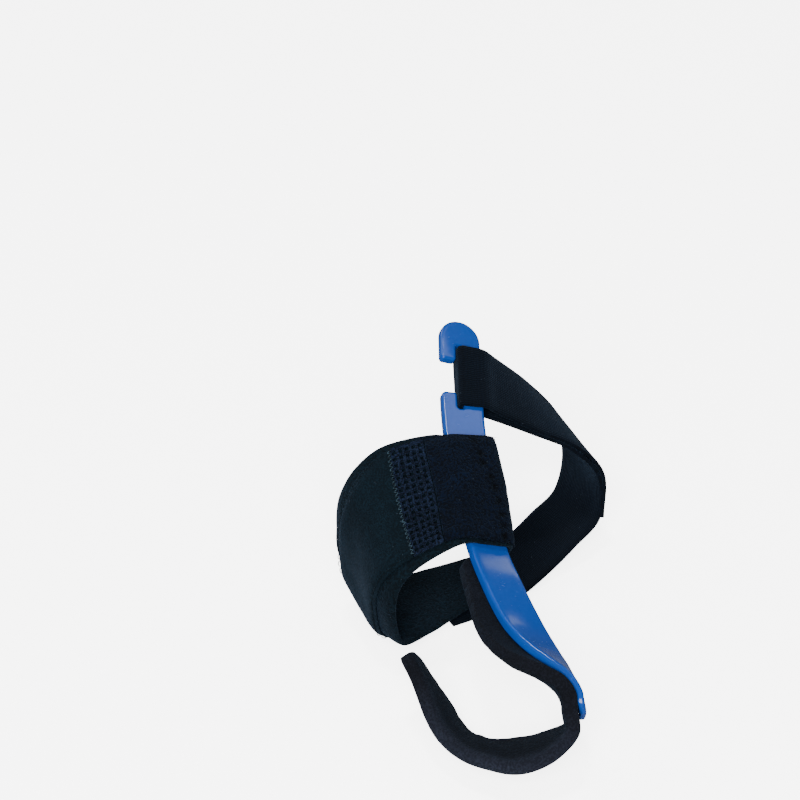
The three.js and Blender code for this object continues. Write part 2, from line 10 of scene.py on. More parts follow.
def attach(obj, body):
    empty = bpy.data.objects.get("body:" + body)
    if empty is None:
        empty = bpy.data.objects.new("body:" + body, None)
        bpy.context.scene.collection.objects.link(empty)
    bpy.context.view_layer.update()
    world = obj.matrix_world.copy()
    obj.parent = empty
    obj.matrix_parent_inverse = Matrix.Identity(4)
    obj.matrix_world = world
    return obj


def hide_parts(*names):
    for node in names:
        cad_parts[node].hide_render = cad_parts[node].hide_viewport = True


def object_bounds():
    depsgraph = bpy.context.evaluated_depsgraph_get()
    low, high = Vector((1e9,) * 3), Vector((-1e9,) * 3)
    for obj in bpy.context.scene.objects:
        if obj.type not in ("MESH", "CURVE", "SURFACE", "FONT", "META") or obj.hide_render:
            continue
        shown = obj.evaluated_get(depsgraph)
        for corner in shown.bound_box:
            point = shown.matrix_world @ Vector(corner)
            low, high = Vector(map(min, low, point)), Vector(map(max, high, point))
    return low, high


bl_info = {
    "name": "Bunion Corrector",
    "version": (1, 0, 0),
    "blender": (4, 5, 0),
    "location": "View3D > Sidebar > Corrector",
    "description": "A plastic splint with a foam sling, a faced band and a webbing strap",
    "category": "Object",
}

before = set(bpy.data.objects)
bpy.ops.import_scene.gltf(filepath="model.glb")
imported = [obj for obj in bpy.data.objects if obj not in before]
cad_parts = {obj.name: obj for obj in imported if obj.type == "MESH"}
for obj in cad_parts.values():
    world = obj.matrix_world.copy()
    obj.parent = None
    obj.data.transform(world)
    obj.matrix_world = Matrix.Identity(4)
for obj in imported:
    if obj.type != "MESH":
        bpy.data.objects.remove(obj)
CAD_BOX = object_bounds()
BODY = "root"
MM = 0.001

# Sizes in millimetres
SPLINT_WIDTH = 12.2
SPLINT_THICK = 3.0
SPLINT_TIP_THICK = 1.8
HEAD_LENGTH = 8.65
SLOT_LENGTH = 20.9
SLOT_SIDES = (-1.5, 0.3)
MOUTH = 10.5
FOAM_THICK = 4.0
FOAM_ROUND = 1.3
SLING_END = 5.0
BAND_THICK = 1.5
BAND_UNDERLAP = 10.0
FACING_THICK = 1.2
FACING_RIM = 6.0
FACING_START = 1.2
VELOUR_LENGTH = 20.0
MESH_LENGTH = 10.0
MESH_COLUMNS = 5
MESH_ROWS = 17
STRAP_THICK = 1.3
GAP = 0.3

# Where stitches pull the nap down: length past the band's fold, and part of its width from the back
DIMPLES = (
    (7.4, 0.06),
    (6.7, 0.19),
    (6.6, 0.28),
    (5.3, 0.40),
    (4.8, 0.49),
    (4.2, 0.61),
    (3.8, 0.72),
    (4.0, 0.82),
    (4.3, 0.93),
)

# The middle of the splint's under face from head to tip, with its lean in degrees
SPINE_ROWS = (
    (42.89, 116.4, 54.18, 25),
    (39.85, 110.4, 51.72, 24),
    (28.1, 84.48, 40.62, 14),
    (23.14, 68.04, 33.0, 19),
    (18.36, 54.12, 26.1, 25),
    (16.01, 41.28, 23.4, 21),
    (14.79, 28.8, 20.28, 21),
    (14.96, 22.8, 18.6, 27),
    (15.92, 17.04, 16.98, 36),
    (17.4, 11.64, 15.6, 47),
    (18.71, 6.6, 13.92, 62),
    (18.62, 2.28, 11.58, 77),
    (17.23, -1.2, 9.18, 89),
)

# The near face of each cloth: a row for each step along it, five points across it
BAND_ROWS = (
    ((14.47, 53.64, 27.11), (16.83, 61.48, 30.22), (19.39, 68.74, 33.86),
     (21.49, 76.21, 37.22), (23.85, 84.08, 40.57)),
    ((19.01, 53.16, 25.08), (21.46, 60.7, 28.49), (24.1, 67.93, 32.38),
     (26.28, 75.47, 35.99), (28.59, 82.91, 39.46)),
    ((23.56, 52.67, 23.05), (26.08, 59.91, 26.77), (28.8, 67.12, 30.9),
     (31.07, 74.73, 34.76), (33.32, 81.74, 38.36)),
    ((24.0, 52.46, 23.4), (26.46, 59.59, 27.1), (29.17, 66.82, 31.27),
     (31.42, 74.45, 35.15), (33.64, 81.45, 38.77)),
    ((24.55, 52.0, 24.46), (26.85, 58.91, 28.11), (29.52, 66.2, 32.32),
     (31.74, 73.86, 36.24), (33.88, 80.86, 39.88)),
    ((24.89, 51.57, 25.61), (27.02, 58.26, 29.2), (29.65, 65.61, 33.45),
     (31.82, 73.3, 37.39), (33.9, 80.33, 41.04)),
    ((24.82, 51.41, 26.18), (26.87, 58.03, 29.73), (29.48, 65.41, 33.99),
     (31.63, 73.11, 37.92), (33.68, 80.17, 41.58)),
    ((22.04, 51.71, 27.42), (24.05, 58.51, 30.79), (26.61, 65.9, 34.89),
     (28.71, 73.56, 38.67), (30.8, 80.88, 42.25)),
    ((19.27, 52.01, 28.66), (21.23, 58.99, 31.84), (23.74, 66.39, 35.8),
     (25.79, 74.01, 39.42), (27.91, 81.6, 42.93)),
    ((16.5, 52.31, 29.89), (18.4, 59.47, 32.89), (20.87, 66.89, 36.7),
     (22.87, 74.46, 40.18), (25.02, 82.31, 43.6)),
    ((14.01, 52.57, 31.01), (15.86, 59.9, 33.84), (18.29, 67.33, 37.52),
     (20.24, 74.86, 40.85), (22.42, 82.96, 44.21)),
    ((10.34, 53.56, 30.7), (12.39, 61.41, 33.42), (14.82, 68.77, 36.86),
     (16.79, 76.42, 40.29), (19.33, 85.35, 43.88)),
    ((-2.74, 54.6, 25.77), (-1.72, 62.76, 29.78), (-0.36, 70.77, 34.19),
     (1.79, 79.36, 38.55), (4.56, 88.13, 43.11)),
    ((-7.12, 54.6, 20.94), (-7.21, 62.82, 25.14), (-6.18, 70.99, 28.96),
     (-4.95, 79.4, 33.67), (-2.86, 88.25, 38.65)),
    ((-8.26, 54.67, 14.35), (-9.85, 62.73, 18.31), (-8.77, 71.13, 21.53),
     (-8.52, 79.47, 26.08), (-7.3, 88.48, 31.09)),
    ((-7.75, 54.55, 7.89), (-9.85, 62.42, 10.97), (-9.24, 70.98, 13.7),
     (-9.42, 79.45, 17.9), (-8.64, 88.32, 22.7)),
    ((-5.33, 55.15, 1.66), (-8.08, 62.83, 2.72), (-8.26, 70.8, 4.07),
     (-8.61, 78.72, 7.53), (-8.55, 86.76, 11.69)),
    ((4.71, 58.2, 0.0), (3.68, 64.8, 0.0), (3.65, 71.4, 0.0),
     (1.79, 78.0, 0.09), (-0.44, 84.6, 0.8)),
    ((18.43, 62.4, 0.02), (18.96, 67.5, 0.02), (19.04, 72.6, 0.01),
     (17.73, 77.7, 0.01), (16.0, 82.8, 0.01)),
    ((33.38, 64.2, 0.23), (34.38, 68.55, 0.22), (34.61, 72.9, 0.2),
     (33.69, 77.25, 0.16), (32.32, 81.6, 0.12)),
)
STRAP_ROWS = (
    ((67.89, 74.51, 4.71), (66.95, 79.65, 3.94), (65.77, 84.62, 3.32),
     (65.07, 89.62, 2.96), (64.47, 94.62, 2.72)),
    ((70.12, 78.84, 16.69), (70.12, 83.88, 15.65), (70.06, 88.86, 15.01),
     (69.82, 93.91, 14.59), (69.49, 98.91, 14.39)),
    ((62.95, 82.16, 26.47), (64.07, 87.16, 26.48), (64.94, 92.23, 26.51),
     (65.49, 97.27, 26.55), (65.75, 102.34, 26.67)),
    ((53.14, 84.3, 33.28), (54.76, 89.29, 34.32), (56.24, 94.32, 35.3),
     (57.46, 99.39, 36.18), (58.38, 104.45, 37.0)),
    ((41.02, 88.34, 41.94), (42.86, 92.56, 43.47), (44.76, 96.84, 44.95),
     (46.7, 101.14, 46.41), (48.67, 105.47, 47.87)),
    ((37.14, 88.62, 45.24), (39.07, 92.84, 46.88), (41.08, 97.08, 48.47),
     (43.12, 101.32, 50.04), (45.19, 105.58, 51.6)),
    ((34.47, 89.48, 45.98), (36.43, 93.7, 47.7), (38.46, 97.92, 49.38),
     (40.53, 102.14, 51.03), (42.62, 106.37, 52.68)),
    ((32.26, 90.19, 46.59), (34.24, 94.41, 48.38), (36.29, 98.62, 50.13),
     (38.38, 102.82, 51.86), (40.49, 107.02, 53.57)),
    ((31.66, 90.38, 46.76), (33.65, 94.61, 48.56), (35.7, 98.81, 50.33),
     (37.79, 103.01, 52.08), (39.91, 107.2, 53.81)),
    ((31.5, 90.49, 46.67), (33.49, 94.72, 48.47), (35.54, 98.92, 50.25),
     (37.63, 103.12, 52.0), (39.75, 107.31, 53.74)),
    ((31.32, 91.21, 45.19), (33.27, 95.44, 47.0), (35.28, 99.66, 48.79),
     (37.32, 103.87, 50.57), (39.39, 108.07, 52.32)),
    ((31.14, 91.92, 43.71), (33.05, 96.17, 45.54), (35.01, 100.4, 47.34),
     (37.01, 104.63, 49.13), (39.03, 108.84, 50.91)),
    ((31.27, 91.94, 43.54), (33.17, 96.19, 45.36), (35.12, 100.43, 47.16),
     (37.12, 104.65, 48.95), (39.13, 108.87, 50.72)),
    ((31.86, 91.75, 43.38), (33.76, 96.0, 45.18), (35.71, 100.24, 46.96),
     (37.7, 104.47, 48.73), (39.71, 108.69, 50.48)),
    ((34.07, 91.04, 42.76), (35.95, 95.29, 44.5), (37.88, 99.54, 46.21),
     (39.85, 103.79, 47.9), (41.84, 108.04, 49.59)),
    ((36.74, 90.19, 42.02), (38.6, 94.43, 43.68), (40.5, 98.69, 45.3),
     (42.44, 102.97, 46.91), (44.41, 107.25, 48.51)),
    ((53.02, 84.39, 33.02), (54.62, 89.39, 34.07), (56.08, 94.41, 35.07),
     (57.27, 99.47, 35.96), (58.17, 104.52, 36.8)),
    ((62.76, 82.21, 26.24), (63.86, 87.2, 26.28), (64.71, 92.26, 26.33),
     (65.24, 97.3, 26.39), (65.49, 102.35, 26.53)),
    ((69.83, 78.83, 16.6), (69.82, 83.86, 15.59), (69.76, 88.85, 14.97),
     (69.52, 93.89, 14.57), (69.19, 98.89, 14.38)),
    ((67.69, 74.53, 4.93), (66.78, 79.64, 4.18), (65.61, 84.62, 3.57),
     (64.92, 89.62, 3.22), (64.33, 94.62, 2.98)),
    ((57.0, 70.32, 0.9), (56.96, 75.38, 0.72), (55.71, 80.4, 0.47),
     (54.5, 85.4, 0.27), (53.74, 90.4, 0.15)),
    ((46.78, 67.29, -2.65), (47.6, 72.35, -2.69), (46.76, 77.38, -2.81),
     (45.27, 82.39, -2.93), (44.22, 87.39, -3.02)),
    ((37.42, 64.57, -4.69), (38.61, 69.59, -4.7), (38.46, 74.61, -4.74),
     (37.08, 79.63, -4.81), (35.63, 84.63, -4.87)),
    ((29.54, 62.69, -4.91), (30.5, 67.69, -4.92), (30.81, 72.7, -4.93),
     (29.67, 77.71, -4.96), (28.05, 82.71, -4.99)),
    ((20.28, 61.75, -5.02), (20.78, 66.75, -5.02), (21.11, 71.75, -5.03),
     (20.03, 76.76, -5.04), (18.33, 81.76, -5.04)),
    ((12.99, 61.76, -5.04), (13.19, 66.76, -5.04), (13.31, 71.76, -5.04),
     (12.11, 76.76, -5.04), (10.36, 81.76, -5.05)),
)
# The sling: each station gives the edge of its outer face at the rim and at the low side
SLING_ROWS = (
    ((11.12, 53.09, 28.04), (22.8, 51.83, 22.8)),
    ((9.66, 49.28, 27.39), (22.05, 48.0, 22.03)),
    ((8.27, 45.32, 26.78), (21.49, 44.21, 21.52)),
    ((6.99, 41.25, 26.06), (21.01, 40.55, 20.86)),
    ((5.85, 37.2, 25.29), (20.55, 36.85, 19.98)),
    ((4.79, 33.08, 24.55), (20.17, 33.16, 19.03)),
    ((3.99, 28.69, 23.84), (19.88, 29.58, 17.99)),
    ((3.91, 23.73, 23.43), (19.67, 26.27, 16.71)),
    ((4.78, 18.71, 23.29), (19.63, 22.97, 15.22)),
    ((6.4, 14.12, 23.23), (19.8, 19.55, 13.69)),
    ((8.74, 9.96, 23.21), (20.15, 15.98, 12.23)),
    ((11.59, 6.2, 22.78), (20.45, 12.44, 10.74)),
    ((14.25, 2.89, 21.36), (20.62, 8.96, 9.19)),
    ((15.64, -0.38, 18.63), (20.13, 5.81, 7.35)),
    ((15.23, -2.84, 15.54), (19.04, 2.72, 5.28)),
    ((14.18, -7.32, 10.62), (18.52, 1.59, 2.6)),
    ((12.09, -8.76, 8.82), (16.42, 1.95, 0.73)),
    ((8.96, -9.72, 7.2), (12.95, 3.32, -0.67)),
    ((4.79, -10.32, 5.58), (7.64, 4.36, -1.39)),
    ((0.44, -10.08, 4.5), (2.1, 6.0, -1.32)),
    ((-3.39, -9.0, 3.72), (-2.1, 7.85, -1.5)),
    ((-6.87, -6.72, 3.18), (-4.35, 10.2, -2.0)),
    ((-10.53, -2.52, 2.82), (-5.15, 12.6, -2.75)),
    ((-14.01, 2.76, 2.4), (-5.69, 14.64, -3.75)),
    ((-16.18, 8.04, 2.58), (-6.34, 16.9, -4.46)),
    ((-17.57, 13.92, 3.78), (-6.93, 20.06, -4.82)),
    ((-17.75, 20.16, 6.0), (-7.31, 23.55, -4.23)),
    ((-17.05, 25.92, 8.52), (-7.53, 27.43, -2.97)),
    ((-16.62, 30.48, 10.98), (-8.03, 31.08, -1.31)),
    ((-16.79, 33.48, 13.02), (-8.84, 33.62, 0.3)),
    ((-17.57, 37.92, 16.44), (-9.85, 37.92, 3.58)),
)


class Route:
    """A centripetal Catmull-Rom curve through points, spaced by their first three columns."""

    DIVISIONS = 500

    def __init__(self, points):
        self.points = np.array(points, float)
        self.grid = np.linspace(0, 1, self.DIVISIONS + 1)
        steps = np.diff(self.at(self.grid)[:, :3], axis=0)
        self.runs = np.concatenate([[0], np.cumsum(np.linalg.norm(steps, axis=1))])
        self.length = self.runs[-1]

    def at(self, share):
        points = self.points
        last = len(points) - 1
        place = np.clip(share, 0, 1) * last
        cell = np.minimum(place.astype(int), last - 1)
        weight = (place - cell)[:, None]
        padded = np.vstack([2 * points[0] - points[1], points, 2 * points[-1] - points[-2]])
        a, b, c, d = (padded[cell + k] for k in range(4))
        before, here, after = (
            np.sqrt(np.maximum(np.linalg.norm((q - p)[:, :3], axis=1), 1e-8))[:, None]
            for p, q in ((a, b), (b, c), (c, d))
        )
        leave = here * ((b - a) / before - (c - a) / (before + here) + (c - b) / here)
        reach = here * ((c - b) / here - (d - b) / (here + after) + (d - c) / after)
        square, cube = weight**2, weight**3
        return (
            b
            + leave * weight
            + (3 * (c - b) - 2 * leave - reach) * square
            + (2 * (b - c) + leave + reach) * cube
        )

    def share(self, run):
        return np.interp(run, self.runs, self.grid)

    def run(self, share):
        return np.interp(share, self.grid, self.runs)

    def tangent(self, share, step=1e-4):
        ahead = self.at(np.minimum(share + step, 1)) - self.at(np.maximum(share - step, 0))
        return unit(ahead[:, :3])


def unit(vectors):
    return vectors / np.linalg.norm(vectors, axis=-1, keepdims=True)


class Cloth:
    """A cloth's near face: a share along it, a share across it, and a lift off it."""

    ALONG_STEP = 0.002
    ACROSS_STEP = 0.02

    def __init__(self, rows):
        grid = np.array(rows, float)
        self.rows = len(grid)
        self.stops = np.linspace(0, 1, grid.shape[1])
        self.lines = [Route(grid[:, k]) for k in range(grid.shape[1])]
        self.middle = self.lines[len(self.lines) // 2]

    def near(self, along, across):
        found = np.zeros((len(along), 3))
        for k, line in enumerate(self.lines):
            others = np.delete(self.stops, k)
            weight = np.prod((across[:, None] - others) / (self.stops[k] - others), axis=1)
            found += line.at(along) * weight[:, None]
        return found

    def point(self, along, across, lift):
        step = self.ALONG_STEP
        forward = self.near(along + step, across) - self.near(along - step, across)
        step = self.ACROSS_STEP
        wide = self.near(along, across + step) - self.near(along, across - step)
        out = unit(np.cross(wide, forward))
        return self.near(along, across) + out * np.reshape(lift, (-1, 1))

    def shares(self, start, end, longest):
        """Shares through every row of the cloth, no step longer than a length."""
        rows = [k / (self.rows - 1) for k in range(self.rows)]
        stops = [start, *(row for row in rows if start < row < end), end]
        found = [start]
        for first, last in zip(stops, stops[1:]):
            run = self.middle.run(np.array([first, last]))
            count = max(1, math.ceil((run[1] - run[0]) / longest))
            found.extend(first + (last - first) * (k + 1) / count for k in range(count))
        return np.array(found)


spine = Route(SPINE_ROWS)
band = Cloth(BAND_ROWS)
strap = Cloth(STRAP_ROWS)


def by_splint(run, side, height):
    """Points beside the splint: run along it, side across it, height above its under face."""
    share = spine.share(run)
    at = spine.at(share)
    forward = spine.tangent(share)
    lean = np.radians(at[:, 3:])
    level = unit(np.cross((0, 0, 1), forward))
    upright = np.cross(forward, level)
    across = level * np.cos(lean) - upright * np.sin(lean)
    out = level * np.sin(lean) + upright * np.cos(lean)
    return at[:, :3] + across * np.reshape(side, (-1, 1)) + out * np.reshape(height, (-1, 1))


def smoothstep(value, low, high):
    share = np.clip((value - low) / (high - low), 0, 1)
    return share * share * (3 - 2 * share)


def bell(distance, reach):
    """1 at a distance of 0, falling smoothly to about a third at the reach."""
    return np.exp(-((distance / reach) ** 2))


def past_fold(length):
    """The share along the band at a length past the crown of its fold round the splint."""
    return float(band.middle.share(BAND_UNDERLAP + SPLINT_THICK / 2 + GAP + length))


RIM_FROM, RIM_TO = past_fold(0.6 * VELOUR_LENGTH), past_fold(3 * VELOUR_LENGTH)
BAND_WIDTH = 33.48
BACK_RIM = 0.75
# Where the parts of the facing start: lengths past the fold, and a share along the band
MESH_START = FACING_START + VELOUR_LENGTH + GAP
PANEL_START = MESH_START + MESH_LENGTH + GAP
PANEL_END = 0.95


def facing_edges(along):
    """The shares across the band between which the facing lies."""
    rim = (GAP + (FACING_RIM - GAP) * smoothstep(along, RIM_FROM, RIM_TO)) / BAND_WIDTH
    return rim, 1 - rim * BACK_RIM


def whole_width(along):
    return np.zeros_like(along), np.ones_like(along)


def ripple(points, scale, seed, depth=2):
    """Smooth noise from -1 to 1 at points, in bumps of about scale millimetres."""
    return np.array(
        [noise.fractal(Vector(p) / scale + Vector((seed, 0, 0)), 1.0, 2.0, depth) for p in points]
    )


# Modelling helpers


def fresh(name, operator, **options):
    """A new primitive, alone in the selection."""
    bpy.ops.object.select_all(action="DESELECT")
    operator(**options)
    piece = bpy.context.active_object
    piece.name = piece.data.name = name
    return piece


def coordinates(piece):
    values = np.empty(len(piece.data.vertices) * 3)
    piece.data.vertices.foreach_get("co", values)
    return values.reshape(-1, 3)


def move_to(piece, points):
    piece.data.vertices.foreach_set("co", np.ravel(points))
    piece.data.update()


def shade_points(piece, values):
    """Stores how much painted shade each point of a piece gets, for its material."""
    layer = piece.data.attributes.new("shade", "FLOAT", "POINT")
    layer.data.foreach_set("value", np.asarray(values, dtype=np.float32))


def finish_with(piece, kind, **settings):
    modifier = piece.modifiers.new(kind.title(), kind)
    for key, value in settings.items():
        setattr(modifier, key, value)
    bpy.ops.object.modifier_apply(modifier=modifier.name)


def round_edges(piece, width, segments, angle):
    """Bevels a piece's edges that are sharper than an angle in degrees."""
    finish_with(
        piece,
        "BEVEL",
        width=width,
        segments=segments,
        limit_method="ANGLE",
        angle_limit=math.radians(angle),
        use_clamp_overlap=False,
    )


def in_edit_mode(*steps):
    """Edit operators on the whole of the active piece, each with its options."""
    bpy.ops.object.mode_set(mode="EDIT")
    for operator, options in steps:
        bpy.ops.mesh.select_all(action="SELECT")
        operator(**options)
    bpy.ops.object.mode_set(mode="OBJECT")


def face_outwards():
    in_edit_mode((bpy.ops.mesh.normals_make_consistent, {"inside": False}))


def hand_over(piece, material, slot, *nodes):
    """Gives a finished piece its material, its body and the nodes it stands for. Its slot is not
    used.
    """
    piece.data.materials.clear()
    piece.data.materials.append(material)
    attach(piece, BODY)
    if nodes:
        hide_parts(*nodes)


def sheet_piece(name, cloth, shares, across, low, high, edges=whole_width, cut=None, edge=0.3):
    """A cloth's solid. Low and high are lifts, or functions of lengths and shares that give them.

    Cut deletes faces of the flat grid. The UV map holds the lengths along and across in metres.
    """
    piece = fresh(
        name,
        bpy.ops.mesh.primitive_grid_add,
        x_subdivisions=len(shares) - 1,
        y_subdivisions=len(across) - 1,
        size=1,
    )
    if cut:
        cut(piece)
    finish_with(piece, "SOLIDIFY", thickness=1.0, offset=1.0)
    flat = coordinates(piece)
    half = len(flat) // 2
    columns, lines = np.arange(len(shares)), np.arange(len(across))
    along = np.interp((flat[:half, 0] + 0.5) * (len(shares) - 1), columns, shares)
    part = np.interp((flat[:half, 1] + 0.5) * (len(across) - 1), lines, across)
    first, last = edges(along)
    wide = first + (last - first) * part
    faces = []
    for lift in (low, high):
        lifted = lift(along, wide, part) if callable(lift) else np.full(half, lift)
        faces.append(cloth.point(along, wide, lifted))
    move_to(piece, np.vstack(faces) * MM)
    lengths = cloth.middle.run(shares)
    width = np.linalg.norm(
        cloth.near(np.array([shares[0]]), np.array([1.0]))
        - cloth.near(np.array([shares[0]]), np.array([0.0]))
    )
    for point in piece.data.uv_layers.active.data:
        u, v = point.uv
        point.uv = (
            np.interp(u * (len(shares) - 1), columns, lengths) * MM,
            np.interp(v * (len(across) - 1), lines, across) * width * MM,
        )
    face_outwards()
    round_edges(piece, edge * MM, 2, 50)
    bpy.ops.object.shade_smooth()
    return piece


def thread(name, paths, radius):
    """Sewing thread along paths given in millimetres, as one mesh of fine tubes."""
    curve = bpy.data.curves.new(name, "CURVE")
    curve.dimensions = "3D"
    curve.bevel_depth = radius * MM
    curve.bevel_resolution = 1
    curve.use_fill_caps = True
    for path in paths:
        spline = curve.splines.new("POLY")
        spline.points.add(len(path) - 1)
        for point, place in zip(spline.points, path):
            point.co = (*(np.array(place) * MM), 1)
    piece = bpy.data.objects.new(name, curve)
    bpy.context.collection.objects.link(piece)
    bpy.ops.object.select_all(action="DESELECT")
    piece.select_set(True)
    bpy.context.view_layer.objects.active = piece
    bpy.ops.object.convert(target="MESH")
    in_edit_mode((bpy.ops.mesh.remove_doubles, {"threshold": 0.001 * MM}))
    face_outwards()
    bpy.ops.object.shade_smooth()
    return piece


# Shader node groups: they give masks and heights, and the shader stays in each material


def fill(tree, made, values):
    """Sets a node's inputs to values, or links them from sockets."""
    for name, value in values.items():
        if isinstance(value, bpy.types.NodeSocket):
            tree.links.new(value, made.inputs[name])
        else:
            made.inputs[name].default_value = value


def node(tree, kind, values=None, **settings):
    """A node with its settings and its inputs."""
    made = tree.nodes.new(kind)
    for key, value in settings.items():
        setattr(made, key, value)
    fill(tree, made, values or {})
    return made


def math_node(tree, operation, first, second=0.0):
    made = node(tree, "ShaderNodeMath", {0: first, 1: second}, operation=operation)
    return made.outputs[0]


def noise_node(tree, vector, scale, **values):
    """Noise from 0 to 1, with any other inputs by their names."""
    values = {"Vector": vector, "Scale": scale, **values}
    return node(tree, "ShaderNodeTexNoise", values).outputs["Fac"]


def ramp(tree, value, stops):
    """A black to white ramp with stops of place and brightness."""
    made = node(tree, "ShaderNodeValToRGB", {"Fac": value})
    elements = made.color_ramp.elements
    while len(elements) < len(stops):
        elements.new(0.5)
    for element, (place, level) in zip(elements, stops):
        element.position = place
        element.color = (level, level, level, 1)
    return made.outputs["Color"]


def group(name, build, outputs, **inputs):
    """A shader node group of a vector and named values, filled in by a build function."""
    tree = bpy.data.node_groups.new(name, "ShaderNodeTree")
    tree.interface.new_socket("Vector", in_out="INPUT", socket_type="NodeSocketVector")
    for label, value in inputs.items():
        socket = tree.interface.new_socket(label, in_out="INPUT", socket_type="NodeSocketFloat")
        socket.default_value = value
    for label in outputs:
        tree.interface.new_socket(label, in_out="OUTPUT", socket_type="NodeSocketFloat")
    entry = tree.nodes.new("NodeGroupInput").outputs
    end = tree.nodes.new("NodeGroupOutput")
    for label, socket in zip(outputs, build(tree, entry)):
        tree.links.new(socket, end.inputs[label])
    return tree


def pile(tree, entry):
    """Short curled loops in uneven clumps."""
    place, fibres = entry["Vector"], entry["Fibres"]
    clumps = noise_node(tree, place, entry["Clumps"], Detail=3.0, Roughness=0.6)
    curls = noise_node(tree, place, fibres, Detail=1.5, Roughness=0.5, Distortion=0.4)
    tufts = node(tree, "ShaderNodeTexVoronoi", {"Vector": place, "Scale": fibres})
    curl = ramp(tree, curls, ((0.44, 0.0), (0.56, 1.0)))
    dip = math_node(tree, "MULTIPLY", tufts.outputs["Distance"], 0.5)
    height = math_node(tree, "SUBTRACT", curl, dip)
    lift = math_node(tree, "MULTIPLY", clumps, 0.8)
    tone = math_node(tree, "MULTIPLY", curl, ramp(tree, clumps, ((0.3, 0.35), (0.7, 1.0))))
    return tone, math_node(tree, "ADD", height, lift)


def ribs(tree, entry):
    """Lengthwise ribs with crosswise picks, as in elastic webbing."""
    place = entry["Vector"]
    sway = noise_node(tree, place, entry["Sway"], Detail=2.0)
    parts = node(tree, "ShaderNodeSeparateXYZ", {"Vector": place}).outputs
    shift = math_node(tree, "MULTIPLY", math_node(tree, "SUBTRACT", sway, 0.5), entry["Drift"])

    def wave(axis, rate):
        turns = math_node(tree, "MULTIPLY", parts[axis], entry[rate])
        turned = math_node(tree, "MULTIPLY", math_node(tree, "ADD", turns, shift), 2 * math.pi)
        return math_node(tree, "MULTIPLY", math_node(tree, "SINE", turned), 0.5)

    picks = math_node(tree, "MULTIPLY", wave("X", "Picks"), 0.45)
    raised = math_node(tree, "ADD", wave("Y", "Ribs"), picks)
    broken = noise_node(tree, place, entry["Fibres"], Detail=3.0)
    height = math_node(tree, "ADD", raised, broken)
    return ramp(tree, height, ((0.3, 0.0), (1.0, 1.0))), height


def lint(tree, entry):
    """Sparse pale specks of dust."""
    values = {"Vector": entry["Vector"], "Scale": entry["Specks"], "Randomness": 1.0}
    cells = node(tree, "ShaderNodeTexVoronoi", values).outputs
    dots = ramp(tree, cells["Distance"], ((0.06, 1.0), (0.12, 0.0)))
    chosen = node(tree, "ShaderNodeSeparateXYZ", {"Vector": cells["Color"]}).outputs["X"]
    few = math_node(tree, "LESS_THAN", chosen, entry["Amount"])
    return (math_node(tree, "MULTIPLY", dots, few),)


def handling(tree, entry):
    """Faint smudges and hairline scratches on moulded plastic."""
    place = entry["Vector"]
    smudge = noise_node(tree, place, entry["Smudges"], Detail=4.0, Roughness=0.55)
    stretch = {"Vector": place, "Scale": (1.0, 14.0, 14.0)}
    stretched = node(tree, "ShaderNodeMapping", stretch).outputs["Vector"]
    hair = noise_node(tree, stretched, entry["Scratches"], Detail=2.0)
    lines = ramp(tree, hair, ((0.66, 0.0), (0.72, 1.0)))
    grain = noise_node(tree, place, entry["Grain"])
    return ramp(tree, smudge, ((0.35, 0.0), (0.75, 1.0))), lines, grain


CLOTH = ("Tone", "Height")
MARKS = ("Smudge", "Scratch", "Grain")
PILE = group("Napped Pile", pile, CLOTH, Fibres=2200.0, Clumps=400.0)
WEAVE = {"Ribs": 1600.0, "Picks": 900.0, "Sway": 300.0, "Drift": 1.2, "Fibres": 3000.0}
RIBS = group("Ribbed Webbing", ribs, CLOTH, **WEAVE)
LINT = group("Stray Lint", lint, ("Mask",), Specks=900.0, Amount=0.2)
HANDLING = group("Handling Marks", handling, MARKS, Smudges=60.0, Scratches=160.0, Grain=900.0)

LINT_COLOUR = (0.04, 0.055, 0.075)
BLACK = (0.0, 0.0, 0.0)


def new_material(name):
    material = bpy.data.materials.new(name)
    material.use_nodes = True
    tree = material.node_tree
    shader = next(n for n in tree.nodes if n.type == "BSDF_PRINCIPLED")
    return material, tree, shader


def place_group(tree, which, vector, **values):
    made = node(tree, "ShaderNodeGroup", node_tree=which)
    fill(tree, made, {"Vector": vector, **values})
    return made.outputs


def blend_colours(tree, mask, first, second):
    """A colour between two colours or sockets, by a mask."""
    mixed = node(tree, "ShaderNodeMix", {"Factor": mask}, data_type="RGBA")
    for socket, value in ((6, first), (7, second)):
        linked = isinstance(value, bpy.types.NodeSocket)
        fill(tree, mixed, {socket: value if linked else (*value, 1)})
    return mixed.outputs[2]


def scaled(colour, factor, plus=0.0):
    return tuple(min(1.0, factor * v + plus) for v in colour)


def raise_surface(tree, shader, height, distance, strength=1.0):
    """Bumps a shader's surface by a height, over a distance in millimetres."""
    values = {"Height": height, "Strength": strength, "Distance": distance * MM}
    raised = node(tree, "ShaderNodeBump", values).outputs["Normal"]
    tree.links.new(raised, shader.inputs["Normal"])


